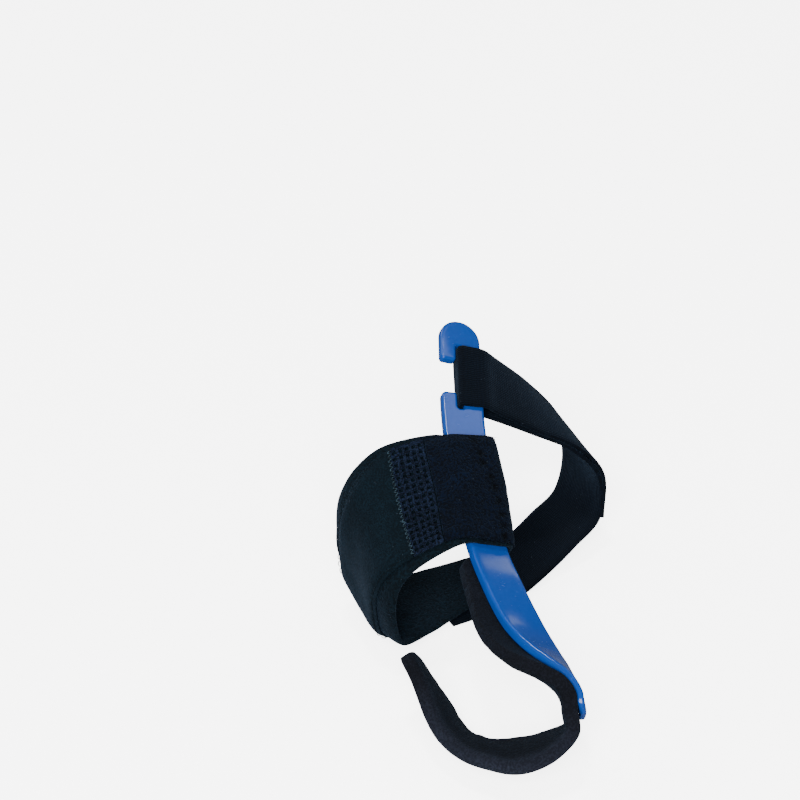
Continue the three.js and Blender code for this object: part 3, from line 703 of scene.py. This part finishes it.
def cloth_material(name, which, dark, pale, sheen, bump, lint_amount=0.08, shaded=0.0, **values):
    """A dark cloth: a pattern between two colours, uneven dye, stray lint, raised fibres and sheen.

    Bump is in millimetres. Shaded is how far the colour falls to black, as painted shade,
    where the piece's own shade attribute is 1.
    """
    material, tree, shader = new_material(name)
    spaces = node(tree, "ShaderNodeTexCoord").outputs
    place = spaces["Object"]
    pattern = place_group(tree, which, spaces["UV"] if which == RIBS else place, **values)
    dye = ramp(tree, noise_node(tree, place, 70.0, Detail=3.0), ((0.35, 0.0), (0.8, 0.55)))
    woven = blend_colours(tree, pattern["Tone"], dark, pale)
    faded = blend_colours(tree, dye, woven, scaled(dark, 0.6))
    specks = place_group(tree, LINT, place, Amount=lint_amount)["Mask"]
    colour = blend_colours(tree, math_node(tree, "MULTIPLY", specks, 0.5), faded, LINT_COLOUR)
    # Painted shade: the colour falls towards black by the piece's shade attribute
    if shaded:
        shade = node(tree, "ShaderNodeAttribute", attribute_name="shade").outputs["Fac"]
        colour = blend_colours(tree, math_node(tree, "MULTIPLY", shade, shaded), colour, BLACK)
    looks = {
        "Base Color": colour,
        "Roughness": 0.9,
        "Specular IOR Level": 0.05,
        "Sheen Weight": sheen,
        "Sheen Roughness": 0.45,
        "Sheen Tint": (0.35, 0.6, 1.0, 1),
    }
    fill(tree, shader, looks)
    raise_surface(tree, shader, pattern["Height"], bump, strength=0.8)
    return material


# Settings that a user would change


def colour_setting(name, description, default):
    return bpy.props.FloatVectorProperty(
        name=name, description=description, subtype="COLOR", size=3, min=0, max=1, default=default
    )


def radius_setting(name, description, default, least, most):
    """A radius, with its default and its range given in millimetres."""
    return bpy.props.FloatProperty(
        name=name,
        description=description,
        subtype="DISTANCE",
        default=default * MM,
        min=least * MM,
        max=most * MM,
    )


class SplintSettings(bpy.types.PropertyGroup):
    colour: colour_setting("Plastic colour", "Colour of the moulded splint", (0.0, 0.025, 0.15))
    edge: radius_setting("Edge radius", "Roundness of the splint's edges", 0.9, 0.1, 1.2)
    gloss: bpy.props.FloatProperty(
        name="Roughness",
        description="Roughness of the polished plastic",
        default=0.14,
        min=0,
        max=1,
    )


class ClothSettings(bpy.types.PropertyGroup):
    felt: colour_setting(
        "Panel colour", "Colour of the smooth facing panel", (0.0004, 0.0018, 0.0031)
    )
    velour: colour_setting(
        "Velour colour", "Colour of the napped tab and the pierced strip", (0.0001, 0.0005, 0.0018)
    )
    foam: colour_setting(
        "Sling colour", "Colour of the cloth on the foam sling", (0.0042, 0.0050, 0.0082)
    )
    webbing: colour_setting(
        "Strap colour", "Colour of the ribbed webbing", (0.0002, 0.0007, 0.0018)
    )
    edge: radius_setting("Cut edge radius", "Softness of the cloth's cut edges", 0.35, 0.05, 0.6)


# The pieces


class CORRECTOR_OT_splint(bpy.types.Operator):
    """Models the splint: a plate with a slot and hooks, bevelled, sliced and laid on its route"""

    bl_idname = "corrector.splint"
    bl_label = "Splint"

    SLICE = 1.2
    LENGTHWISE = (-4.0, -1.5, 1.5, 4.0)

    def corners(self):
        """The plate's outline: length along, side, and corner radius."""
        half = SPLINT_WIDTH / 2
        inner, outer = SLOT_SIDES
        head, tip = HEAD_LENGTH, spine.length
        slot_end = head + SLOT_LENGTH
        mouth = (head + SLOT_LENGTH / 2 - MOUTH / 2, head + SLOT_LENGTH / 2 + MOUTH / 2)
        return (
            (0, half, half),
            (0, -half, half),
            (mouth[0], -half, 1.1),
            (mouth[0], inner, 1.0),
            (head, inner, 0.7),
            (head, outer, 0.7),
            (slot_end, outer, 0.7),
            (slot_end, inner, 0.7),
            (mouth[1], inner, 1.0),
            (mouth[1], -half, 1.5),
            (tip, -half, 3.7),
            (tip, half, 3.7),
        )

    def outline(self):
        corners = self.corners()
        points = []
        for k, (along, side, radius) in enumerate(corners):
            here = np.array((along, side), float)
            before = unit(np.array(corners[k - 1][:2]) - here)
            after = unit(np.array(corners[(k + 1) % len(corners)][:2]) - here)
            centre = here + (before + after) * radius
            count = 16 if radius > 3 else 6
            for step in range(count + 1):
                angle = step / count * math.pi / 2
                turn = after * math.cos(angle) + before * math.sin(angle)
                points.append(centre - radius * turn)
        return [p for k, p in enumerate(points) if np.linalg.norm(p - points[k - 1]) > 0.01]

    def execute(self, context):
        settings = context.scene.corrector_splint
        outline = self.outline()
        plate = fresh(
            "splint_bar",
            bpy.ops.mesh.primitive_circle_add,
            vertices=len(outline),
            radius=1,
            fill_type="NGON",
        )
        angles = np.arctan2(coordinates(plate)[:, 1], coordinates(plate)[:, 0])
        rising = np.unwrap(angles)[-1] > np.unwrap(angles)[0]
        flat = np.array(outline if rising else outline[::-1])
        move_to(plate, np.column_stack([flat, np.zeros(len(flat))]) * MM)
        finish_with(plate, "SOLIDIFY", thickness=SPLINT_THICK * MM, offset=1.0)
        face_outwards()
        heights = coordinates(plate)[:, 2]
        move_to(plate, coordinates(plate) - (0, 0, heights.min()))
        round_edges(plate, settings.edge, 4, 60)
        slices = [
            (bpy.ops.mesh.bisect, {"plane_co": (run * MM, 0, 0), "plane_no": (1, 0, 0)})
            for run in np.arange(self.SLICE, spine.length, self.SLICE)
        ]
        slices += [
            (bpy.ops.mesh.bisect, {"plane_co": (0, side * MM, 0), "plane_no": (0, 1, 0)})
            for side in self.LENGTHWISE
        ]
        in_edit_mode(*slices)
        run, side, height = coordinates(plate).T / MM
        thin = smoothstep(run / spine.length, 0.8, 1)
        height = height * (1 + (SPLINT_TIP_THICK / SPLINT_THICK - 1) * thin)
        move_to(plate, by_splint(run, side, height) * MM)
        face_outwards()
        bpy.ops.object.shade_smooth()
        finish_with(plate, "WEIGHTED_NORMAL", weight=60, keep_sharp=False)
        hand_over(plate, self.plastic(settings), "blue_plastic", "splint")
        return {"FINISHED"}

    def plastic(self, settings):
        material, tree, shader = new_material("polished_blue_plastic")
        marks = place_group(tree, HANDLING, node(tree, "ShaderNodeTexCoord").outputs["Object"])
        deeper, paler = scaled(settings.colour, 0.9), scaled(settings.colour, 1.08, 0.002)
        smudged = math_node(tree, "MULTIPLY", marks["Smudge"], 0.08)
        scratched = math_node(tree, "MULTIPLY", marks["Scratch"], 0.12)
        marked = math_node(tree, "ADD", smudged, scratched)
        looks = {
            "Base Color": blend_colours(tree, marks["Grain"], deeper, paler),
            "Roughness": math_node(tree, "ADD", marked, settings.gloss),
            "IOR": 1.46,
            "Specular IOR Level": 0.3,
        }
        fill(tree, shader, looks)
        raise_surface(tree, shader, marks["Grain"], 0.02, strength=0.15)
        return material


class CORRECTOR_OT_sling(bpy.types.Operator):
    """Models the foam sling as one strip, with rounded edges, a soft, uneven skin, and painted
    shade on its inner face and arms
    """

    bl_idname = "corrector.sling"
    bl_label = "Foam sling"

    STEPS = 300
    CORNER_STEPS = 5
    SIDE_STEPS = 16
    EDGE_STEPS = 3
    # How much of the stations' spacing crowds towards the two ends, and the reach of a tangent
    CROWDING = 0.35
    REACH = 0.014
    # The outer face's corner radius, as a share of the inner face's
    OUTER_ROUND = 0.5
    # Nicks in the low edge: place along and depth, and their length along
    NICKS = ((0.085, 0.3), (0.105, 0.22), (0.135, 0.3))
    NICK_LENGTH = 0.005
    # How far the outer face swells towards the splint's tip, and where along the strip
    TIP_SWELL = 0.6
    TIP_FROM = (0.25, 0.33)
    TIP_TO = (0.44, 0.50)

    def section(self):
        """One loop round the strip: part across, cosine, part through and sine at each point."""
        corners = ((1, 1), (0, 1), (0, 0), (1, 0))
        counts = (self.SIDE_STEPS, self.EDGE_STEPS, self.SIDE_STEPS, self.EDGE_STEPS)
        loop = []
        for quarter, ((part, through), count) in enumerate(zip(corners, counts)):
            for step in range(self.CORNER_STEPS + 1):
                angle = (quarter + step / self.CORNER_STEPS) * math.pi / 2
                loop.append((part, math.cos(angle), through, math.sin(angle)))
            after = corners[(quarter + 1) % 4]
            turn = (quarter + 1) * math.pi / 2
            for step in range(1, count):
                share = step / count
                loop.append(
                    (
                        part + (after[0] - part) * share,
                        math.cos(turn),
                        through + (after[1] - through) * share,
                        math.sin(turn),
                    )
                )
        return np.array(loop)

    def execute(self, context):
        rim = Route([row[0] for row in SLING_ROWS])
        low = Route([row[1] for row in SLING_ROWS])
        loop = self.section()
        piece = fresh(
            "foam_sling",
            bpy.ops.mesh.primitive_grid_add,
            x_subdivisions=self.STEPS,
            y_subdivisions=len(loop),
            size=1,
        )
        flat = coordinates(piece)
        even = np.rint((flat[:, 0] + 0.5) * self.STEPS) / self.STEPS
        crowded = 0.5 - 0.5 * np.cos(math.pi * even)
        share = self.CROWDING * crowded + (1 - self.CROWDING) * even
        place = np.rint((flat[:, 1] + 0.5) * len(loop)).astype(int) % len(loop)
        part, cosine, through, sine = loop[place].T
        top, bottom = rim.at(share), low.at(share)
        forward = unit(rim.tangent(share, self.REACH) + low.tangent(share, self.REACH))
        width = np.linalg.norm(bottom - top, axis=1)
        across = (bottom - top) / width[:, None]
        inside = unit(np.cross(across, forward))
        short = np.maximum(0, SLING_END - np.minimum(share, 1 - share) * rim.length)
        inset = SLING_END - np.sqrt(np.maximum(SLING_END**2 - short**2, 0))
        radius = FOAM_ROUND * (self.OUTER_ROUND + (1 - self.OUTER_ROUND) * through)
        radius = np.minimum(radius, (width - 2 * inset) / 2.1)
        room = width - 2 * inset - 2 * radius
        side = inset + radius + room * part + radius * cosine
        depth = radius + (FOAM_THICK - 2 * radius) * through + radius * sine
        nick = sum(deep * bell(share - at, self.NICK_LENGTH) for at, deep in self.NICKS)
        side = side + nick * np.maximum(0, -cosine)
        plain = top + across * side[:, None] + inside * depth[:, None]
        bumps = ripple(plain, 5.0, 3) * 0.16 + ripple(plain, 1.7, 9, 1) * 0.05
        inner = smoothstep(depth, 0.5 * FOAM_THICK, FOAM_THICK)
        belly = 0.3 * np.sin(math.pi * np.clip(side / width, 0, 1)) ** 2
        depth = depth + inner * (bumps + belly - 0.25) + (1 - inner) * np.maximum(0, bumps) * 0.5
        side = side + bumps * 0.6 * cosine
        depth = depth - (1 - inner) * self.TIP_SWELL * smoothstep(share, *self.TIP_FROM) * (
            1 - smoothstep(share, *self.TIP_TO)
        )
        move_to(piece, (top + across * side[:, None] + inside * depth[:, None]) * MM)
        # Painted shade: the cloth falls towards black on the strip's inner face and along both arms
        painted_inner_shade = smoothstep(through, 0.55, 1) * smoothstep(part, -0.1, 0.25)
        painted_arm_shade = 0.75 * (1 - smoothstep(share, 0.44, 0.58) + smoothstep(share, 0.82, 0.94))
        shade_points(piece, np.maximum(painted_inner_shade, painted_arm_shade))
        bpy.ops.object.mode_set(mode="EDIT")
        bpy.ops.mesh.select_all(action="SELECT")
        bpy.ops.mesh.remove_doubles(threshold=0.01 * MM)
        bpy.ops.mesh.select_all(action="DESELECT")
        bpy.ops.mesh.select_non_manifold(use_multi_face=False, use_non_contiguous=False)
        bpy.ops.mesh.fill()
        bpy.ops.object.mode_set(mode="OBJECT")
        face_outwards()
        bpy.ops.object.shade_smooth()
        foam = context.scene.corrector_cloth.foam
        pattern = {"Fibres": 1900.0, "Clumps": 260.0}
        material = cloth_material(
            "foam_cloth", PILE, foam, scaled(foam, 2.2), 0.02, 0.14, shaded=0.85, **pattern
        )
        hand_over(piece, material, "foam_cloth", "toe_sling")
        return {"FINISHED"}


class CORRECTOR_OT_band(bpy.types.Operator):
    """Models the base band, folded round the splint, with softly waved cut edges"""

    bl_idname = "corrector.band"
    bl_label = "Base band"

    def execute(self, context):
        settings = context.scene.corrector_cloth
        shares = band.shares(0, 1, 0.9)
        across = np.linspace(0, 1, 43)

        def outer(along, wide, part):
            wave = np.minimum(ripple(band.near(along, wide), 7.0, 5) * 0.12, 0.1)
            fall = np.minimum(part, 1 - part) * BAND_WIDTH
            return BAND_THICK - 0.12 + wave - 0.25 * bell(fall, 0.7)

        piece = sheet_piece("base_band", band, shares, across, 0, outer, edge=settings.edge / MM)
        dark, pale = scaled(settings.felt, 0.8), scaled(settings.felt, 2.6)
        pattern = {"Fibres": 1500.0, "Clumps": 330.0}
        material = cloth_material("band_cloth", PILE, dark, pale, 0.03, 0.12, **pattern)
        hand_over(piece, material, "band_cloth", "forefoot_band")
        return {"FINISHED"}


class CORRECTOR_OT_facing(bpy.types.Operator):
    """Models the band's facing: the smooth panel, the pierced strip and the napped tab"""

    bl_idname = "corrector.facing"
    bl_label = "Facing"

    LOW = BAND_THICK + GAP
    # The pierced strip's cells: to a hole's pitch, and in the margins at its ends and sides
    PITCH = 5
    END_MARGIN, SIDE_MARGIN = 1, 2
    # A dimple in the nap: its depth and reach, its gathers, and the reach and lift of the painted
    # shade round its pit
    DIMPLE_DEPTH, DIMPLE_REACH = 0.75, 0.7
    GATHERS, GATHER_DEPTH, GATHER_RADIUS = 6, 0.2, 1.2
    PIT, PIT_LIFT = 1.2, 2.4
    # How far the nap is pressed down at the fold, and over what length
    FOLD_PRESS, FOLD_REACH = 0.7, 1.8

    def execute(self, context):
        settings = context.scene.corrector_cloth
        self.smooth_panel(settings)
        self.pierced_strip(settings)
        self.napped_tab(settings)
        return {"FINISHED"}

    def raised(self, along, wide, part, start, end, wave, seed, press=0.85):
        """The outer face: full in the middle and pressed down along its edges."""
        run = band.middle.run(along)
        first, last = facing_edges(along)
        ends = np.minimum(run - band.middle.run(start), band.middle.run(end) - run)
        sides = np.minimum(part, 1 - part) * (last - first) * BAND_WIDTH
        pressed = press * bell(np.maximum(sides, 0), 1.5)
        pressed = np.maximum(pressed, 0.25 * bell(np.maximum(ends, 0), 0.7))
        swell = np.minimum(ripple(band.near(along, wide), wave, seed) * 0.15, 0.1)
        return self.LOW + FACING_THICK - 0.1 + swell - pressed

    def layer(self, name, shares, across, outer, edge, cut=None):
        return sheet_piece(
            name, band, shares, across, self.LOW, outer, edges=facing_edges, cut=cut, edge=edge
        )

    def declare(self, piece, start, end):
        length = round(float(band.middle.run(end) - band.middle.run(start)), 6)

    def smooth_panel(self, settings):
        start, end = past_fold(PANEL_START), PANEL_END
        shares, across = band.shares(start, end, 0.7), np.linspace(0, 1, 49)

        def outer(along, wide, part):
            return self.raised(along, wide, part, start, end, 8.0, 21)

        piece = self.layer("felt_panel", shares, across, outer, 0.25)
        pale = scaled(settings.felt, 2.8)
        pattern = {"lint_amount": 0.1, "Fibres": 2400.0, "Clumps": 380.0}
        material = cloth_material("smooth_felt", PILE, settings.felt, pale, 0.03, 0.07, **pattern)
        hand_over(piece, material, "felt", "smooth_panel")
        self.declare(piece, start, end)

    def pierced_strip(self, settings):
        start, end = past_fold(MESH_START), past_fold(MESH_START + MESH_LENGTH)
        long, broad = self.PITCH * MESH_COLUMNS, self.PITCH * MESH_ROWS
        columns, lines = long + 2 * self.END_MARGIN, broad + 2 * self.SIDE_MARGIN
        shares, across = np.linspace(start, end, columns + 1), np.linspace(0, 1, lines + 1)

        def cut(piece):
            """Deletes the cells of the holes: all but the outer ring of each pitch."""
            for face in piece.data.polygons:
                column = (face.center.x + 0.5) * columns - self.END_MARGIN
                line = (face.center.y + 0.5) * lines - self.SIDE_MARGIN
                inside = 0 < column < long and 0 < line < broad
                column, line = column % self.PITCH, line % self.PITCH
                face.select = inside and 1 < column < self.PITCH - 1 and 1 < line < self.PITCH - 1
            for item in (*piece.data.edges, *piece.data.vertices):
                item.select = False
            bpy.context.tool_settings.mesh_select_mode = (False, False, True)
            bpy.ops.object.mode_set(mode="EDIT")
            bpy.ops.mesh.delete(type="FACE")
            bpy.ops.object.mode_set(mode="OBJECT")

        def outer(along, wide, part):
            return self.raised(along, wide, part, start, end, 3.0, 31, press=0.35)

        piece = self.layer("pierced_strip", shares, across, outer, 0.14, cut)
        finish_with(piece, "SUBSURF", levels=1, render_levels=1)
        dark, pale = settings.velour, scaled(settings.velour, 12.0, 0.004)
        pattern = {"Fibres": 2600.0, "Clumps": 600.0}
        material = cloth_material("spacer_netting", PILE, dark, pale, 0.03, 0.06, **pattern)
        hand_over(piece, material, "netting", "mesh_panel")
        self.declare(piece, start, end)

    def napped_tab(self, settings):
        start, end = past_fold(FACING_START), past_fold(FACING_START + VELOUR_LENGTH)
        shares, across = band.shares(start, end, 0.33), np.linspace(0, 1, 101)
        dimples = self.dimples()

        def outer(along, wide, part):
            run, side = band.middle.run(along), wide * BAND_WIDTH
            face = self.raised(along, wide, part, start, end, 5.0, 41)
            face = face - self.FOLD_PRESS * bell(run - band.middle.run(start), self.FOLD_REACH)
            nap = ripple(band.near(along, wide), 0.7, 43, 1) * 0.07
            for place, centre in dimples:
                far = np.hypot(run - place, side - centre)
                turned = np.arctan2(side - centre, run - place)
                spokes = np.cos(self.GATHERS * turned + 3 * place)
                gather = spokes * bell(far - self.GATHER_RADIUS, self.DIMPLE_REACH)
                face = face - self.DIMPLE_DEPTH * bell(far, self.DIMPLE_REACH)
                face = face + self.GATHER_DEPTH * gather
            return face + nap - 0.08

        piece = self.layer("velour_tab_nap", shares, across, outer, 0.3)
        # Painted shade: the nap falls towards black round the pit of each dimple
        runs, sides = np.array(dimples).T
        centres = band.point(band.middle.share(runs), sides / BAND_WIDTH, self.PIT_LIFT)
        gaps = np.linalg.norm(coordinates(piece)[:, None] / MM - centres, axis=2).min(axis=1)
        shade_points(piece, bell(gaps, self.PIT))
        dark, pale = settings.velour, scaled(settings.velour, 5.0)
        pattern = {"shaded": 0.95, "Fibres": 1700.0, "Clumps": 420.0}
        material = cloth_material("napped_velour", PILE, dark, pale, 0.025, 0.2, **pattern)
        hand_over(piece, material, "velour", "velour_tab")
        self.declare(piece, start, end)

    @staticmethod
    def dimples():
        """Where stitches pull the nap down: the run along the band and the place across it."""
        crown = BAND_UNDERLAP + SPLINT_THICK / 2 + GAP
        return [(crown + past, BAND_WIDTH * (1 - part)) for past, part in DIMPLES]


class CORRECTOR_OT_stitches(bpy.types.Operator):
    """Sews the facing: a zigzag seam beside the mesh, hem stitches and sunk tacks in the nap"""

    bl_idname = "corrector.stitches"
    bl_label = "Stitches"

    TOP = BAND_THICK + GAP + FACING_THICK
    ZIGZAG_HALF, ZIGZAG_STEP, ZIGZAG_INSET = 0.5, 0.55, 0.5
    HEM_PITCH, HEM_STITCH, HEM_INSET = 2.1, 1.5, 0.9
    TACK_HALF, TACK_LEAN = 0.4, 0.35

    @staticmethod
    def on_band(run, side, lift):
        share = np.array([band.middle.share(run)])
        return band.point(share, np.array([side / BAND_WIDTH]), lift)[0]

    @staticmethod
    def edges_at(run, inset):
        """The places across the band a little inside the facing's edges, at a run along it."""
        first, last = facing_edges(np.array([band.middle.share(run)]))
        return float(first[0]) * BAND_WIDTH + inset, float(last[0]) * BAND_WIDTH - inset

    def stitch(self, start, end, low, high, steps=6):
        """One stitch between two places on the band, arched between its two holes."""
        path = []
        for k in range(steps + 1):
            t = k / steps
            run = start[0] + (end[0] - start[0]) * t
            side = start[1] + (end[1] - start[1]) * t
            path.append(self.on_band(run, side, low + (high - low) * math.sin(math.pi * t) ** 0.5))
        return path

    def execute(self, context):
        for name, paths, radius, colour, slot in (
            ("seam_zigzag", self.zigzag(), 0.12, (0.0035, 0.0065, 0.009), "netting"),
            ("hem_stitches", self.hems(), 0.11, (0.0005, 0.0014, 0.0022), "felt"),
            ("nap_tacks", self.tacks(), 0.1, (0.0001, 0.0003, 0.0007), "velour"),
        ):
            hand_over(thread(name, paths, radius), self.thread_material(name, colour), slot)
        return {"FINISHED"}

    def zigzag(self):
        """The seam between the pierced strip and the smooth panel."""
        middle = float(band.middle.run(past_fold(PANEL_START - GAP / 2)))
        first, last = self.edges_at(middle, self.ZIGZAG_INSET)
        count = int((last - first) / self.ZIGZAG_STEP)
        ends = [
            (middle + self.ZIGZAG_HALF * (1 if k % 2 else -1), first + (last - first) * k / count)
            for k in range(count + 1)
        ]
        low, high = self.TOP - 0.45, self.TOP + 0.02
        return [self.stitch(a, b, low, high) for a, b in zip(ends, ends[1:])]

    def hems(self):
        """Straight stitches just inside the long edges of the smooth panel."""
        start = float(band.middle.run(past_fold(PANEL_START)) + 1.5)
        end = float(band.middle.run(PANEL_END) - 1)
        paths = []
        for edge in (0, 1):
            for k in range(int((end - start) / self.HEM_PITCH)):
                first = start + self.HEM_PITCH * k
                runs = (first, first + self.HEM_STITCH)
                ends = [(run, self.edges_at(run, self.HEM_INSET)[edge]) for run in runs]
                paths.append(self.stitch(*ends, self.TOP - 0.5, self.TOP - 0.2))
        return paths

    def tacks(self):
        """A short slanted stitch in each dimple of the nap."""
        paths = []
        for k, (run, side) in enumerate(CORRECTOR_OT_facing.dimples()):
            half, lean = self.TACK_HALF, self.TACK_LEAN * (1 if k % 2 else -1)
            ends = ((run - half, side - lean), (run + half, side + lean))
            paths.append(self.stitch(*ends, self.TOP - 0.75, self.TOP - 0.45))
        return paths

    @staticmethod
    def thread_material(name, colour):
        material, tree, shader = new_material(name + "_thread")
        place = node(tree, "ShaderNodeTexCoord").outputs["Object"]
        twist = place_group(tree, PILE, place, Fibres=6000.0, Clumps=900.0)
        worn = place_group(tree, PILE, place, Fibres=1500.0, Clumps=420.0)["Tone"]
        spun = blend_colours(tree, twist["Tone"], colour, scaled(colour, 1.8))
        faded = blend_colours(tree, worn, spun, scaled(colour, 7.0))
        fill(tree, shader, {"Base Color": faded, "Roughness": 0.7, "Specular IOR Level": 0.06})
        raise_surface(tree, shader, twist["Height"], 0.04)
        return material


class CORRECTOR_OT_strap(bpy.types.Operator):
    """Models the webbing strap, from its free end through the slot and round to the band"""

    bl_idname = "corrector.strap"
    bl_label = "Webbing strap"

    WIDTH = 20.0

    def execute(self, context):
        webbing = context.scene.corrector_cloth.webbing
        shares, across = strap.shares(0, 1, 0.8), np.linspace(0, 1, 31)

        def outer(along, wide, part):
            wave = np.minimum(ripple(strap.near(along, wide), 6.0, 51) * 0.05, 0.05)
            fall = np.minimum(part, 1 - part) * self.WIDTH
            return STRAP_THICK - 0.06 + wave - 0.2 * bell(fall, 0.8)

        piece = sheet_piece("webbing_strap", strap, shares, across, 0, outer, edge=0.25)
        pale = scaled(webbing, 2.6)
        pattern = {"Ribs": 1500.0, "Picks": 1100.0}
        material = cloth_material("ribbed_webbing", RIBS, webbing, pale, 0.03, 0.12, **pattern)
        hand_over(piece, material, "webbing", "instep_strap")
        return {"FINISHED"}


class CORRECTOR_OT_studio(bpy.types.Operator):
    """Sets out the floor, the soft lights and the camera"""

    bl_idname = "corrector.studio"
    bl_label = "Studio"

    CAMERA = (-0.30744, -0.54464, 0.57163)
    LOOK = (0.36325, 0.72312, -0.58749)
    ROLL = -0.75
    LENS = 143.55

    def execute(self, context):
        self.floor()
        self.lights(context)
        self.camera(context)
        return {"FINISHED"}

    def floor(self):
        floor = fresh(
            "studio_floor",
            bpy.ops.mesh.primitive_plane_add,
            size=6,
            location=(0, 0, CAD_BOX[0].z - 0.2 * MM),
        )
        material, tree, shader = new_material("studio_paper")
        grain = noise_node(tree, node(tree, "ShaderNodeTexCoord").outputs["Object"], 900.0)
        paper = blend_colours(tree, grain, (0.86, 0.86, 0.86), (0.9, 0.9, 0.9))
        # Painted shade: glossy rays see the floor dark, which darkens its reflections in the
        # plastic; camera rays see it glow as an evenly bright backdrop
        paths = node(tree, "ShaderNodeLightPath").outputs
        looks = {
            "Base Color": blend_colours(tree, paths["Is Glossy Ray"], paper, (0.08, 0.09, 0.12)),
            "Roughness": 0.8,
            "Specular IOR Level": 0.1,
            "Emission Strength": 4.2,
            "Emission Color": paths["Is Camera Ray"],
        }
        fill(tree, shader, looks)
        floor.data.materials.append(material)

    def lights(self, context):
        world = bpy.data.worlds.new("studio_air")
        context.scene.world = world
        world.use_nodes = True
        tree = world.node_tree
        dim = next(n for n in tree.nodes if n.type == "BACKGROUND")
        dim.inputs["Color"].default_value = (1, 1, 1, 1)
        dim.inputs["Strength"].default_value = 0.25
        backdrop = node(tree, "ShaderNodeBackground", {"Color": (1, 1, 1, 1), "Strength": 6.0})
        seen = node(tree, "ShaderNodeLightPath").outputs["Is Camera Ray"]
        mixed = node(
            tree,
            "ShaderNodeMixShader",
            {"Fac": seen, 1: dim.outputs["Background"], 2: backdrop.outputs["Background"]},
        )
        output = next(n for n in tree.nodes if n.type == "OUTPUT_WORLD")
        tree.links.new(mixed.outputs["Shader"], output.inputs["Surface"])
        target = Vector((0.03, 0.06, 0.02))
        for name, place, size, power in (
            ("key_softbox", (-0.70, -0.95, 1.0), 0.9, 80.0),
            ("neck_softbox", (0.75, 0.10, 1.2), 0.5, 3.2),
            ("side_card", (1.056, 0.624, 0.559), 0.13, 0.22),
            ("back_softbox", (-0.35, 1.25, 0.9), 0.9, 12.0),
            ("top_card", (-0.01, 0.25, 1.2), 0.16, 9.0),
        ):
            light = bpy.data.lights.new(name, "AREA")
            light.shape = "SQUARE"
            light.size = size
            light.energy = power
            lamp = bpy.data.objects.new(name, light)
            context.collection.objects.link(lamp)
            lamp.location = place
            lamp.rotation_euler = (target - Vector(place)).to_track_quat("-Z", "Y").to_euler()

    def camera(self, context):
        data = bpy.data.cameras.new("view")
        data.sensor_width = 36
        data.lens = self.LENS
        data.clip_start, data.clip_end = 0.01, 20
        camera = bpy.data.objects.new("view", data)
        context.collection.objects.link(camera)
        camera.location = self.CAMERA
        turn = Vector(self.LOOK).to_track_quat("-Z", "Y").to_matrix()
        camera.rotation_euler = (turn @ Matrix.Rotation(math.radians(self.ROLL), 3, "Z")).to_euler()
        context.scene.camera = camera


OPERATORS = (
    CORRECTOR_OT_splint,
    CORRECTOR_OT_sling,
    CORRECTOR_OT_band,
    CORRECTOR_OT_facing,
    CORRECTOR_OT_stitches,
    CORRECTOR_OT_strap,
    CORRECTOR_OT_studio,
)


class CORRECTOR_PT_panel(bpy.types.Panel):
    """The pieces of the corrector and their settings"""

    bl_idname = "CORRECTOR_PT_panel"
    bl_label = "Bunion Corrector"
    bl_space_type = "VIEW_3D"
    bl_region_type = "UI"
    bl_category = "Corrector"

    def draw(self, context):
        layout = self.layout
        for settings in (context.scene.corrector_splint, context.scene.corrector_cloth):
            box = layout.box()
            for name in settings.__annotations__:
                box.prop(settings, name)
        for operator in OPERATORS:
            layout.operator(operator.bl_idname)


SETTINGS = {"corrector_splint": SplintSettings, "corrector_cloth": ClothSettings}
CLASSES = (*SETTINGS.values(), *OPERATORS, CORRECTOR_PT_panel)


def register():
    for cls in CLASSES:
        bpy.utils.register_class(cls)
    for name, cls in SETTINGS.items():
        setattr(bpy.types.Scene, name, bpy.props.PointerProperty(type=cls))


def unregister():
    for name in SETTINGS:
        delattr(bpy.types.Scene, name)
    for cls in reversed(CLASSES):
        bpy.utils.unregister_class(cls)


def main():
    register()
    for operator in OPERATORS:
        family, name = operator.bl_idname.split(".")
        getattr(getattr(bpy.ops, family), name)()


if __name__ == "__main__":
    main()
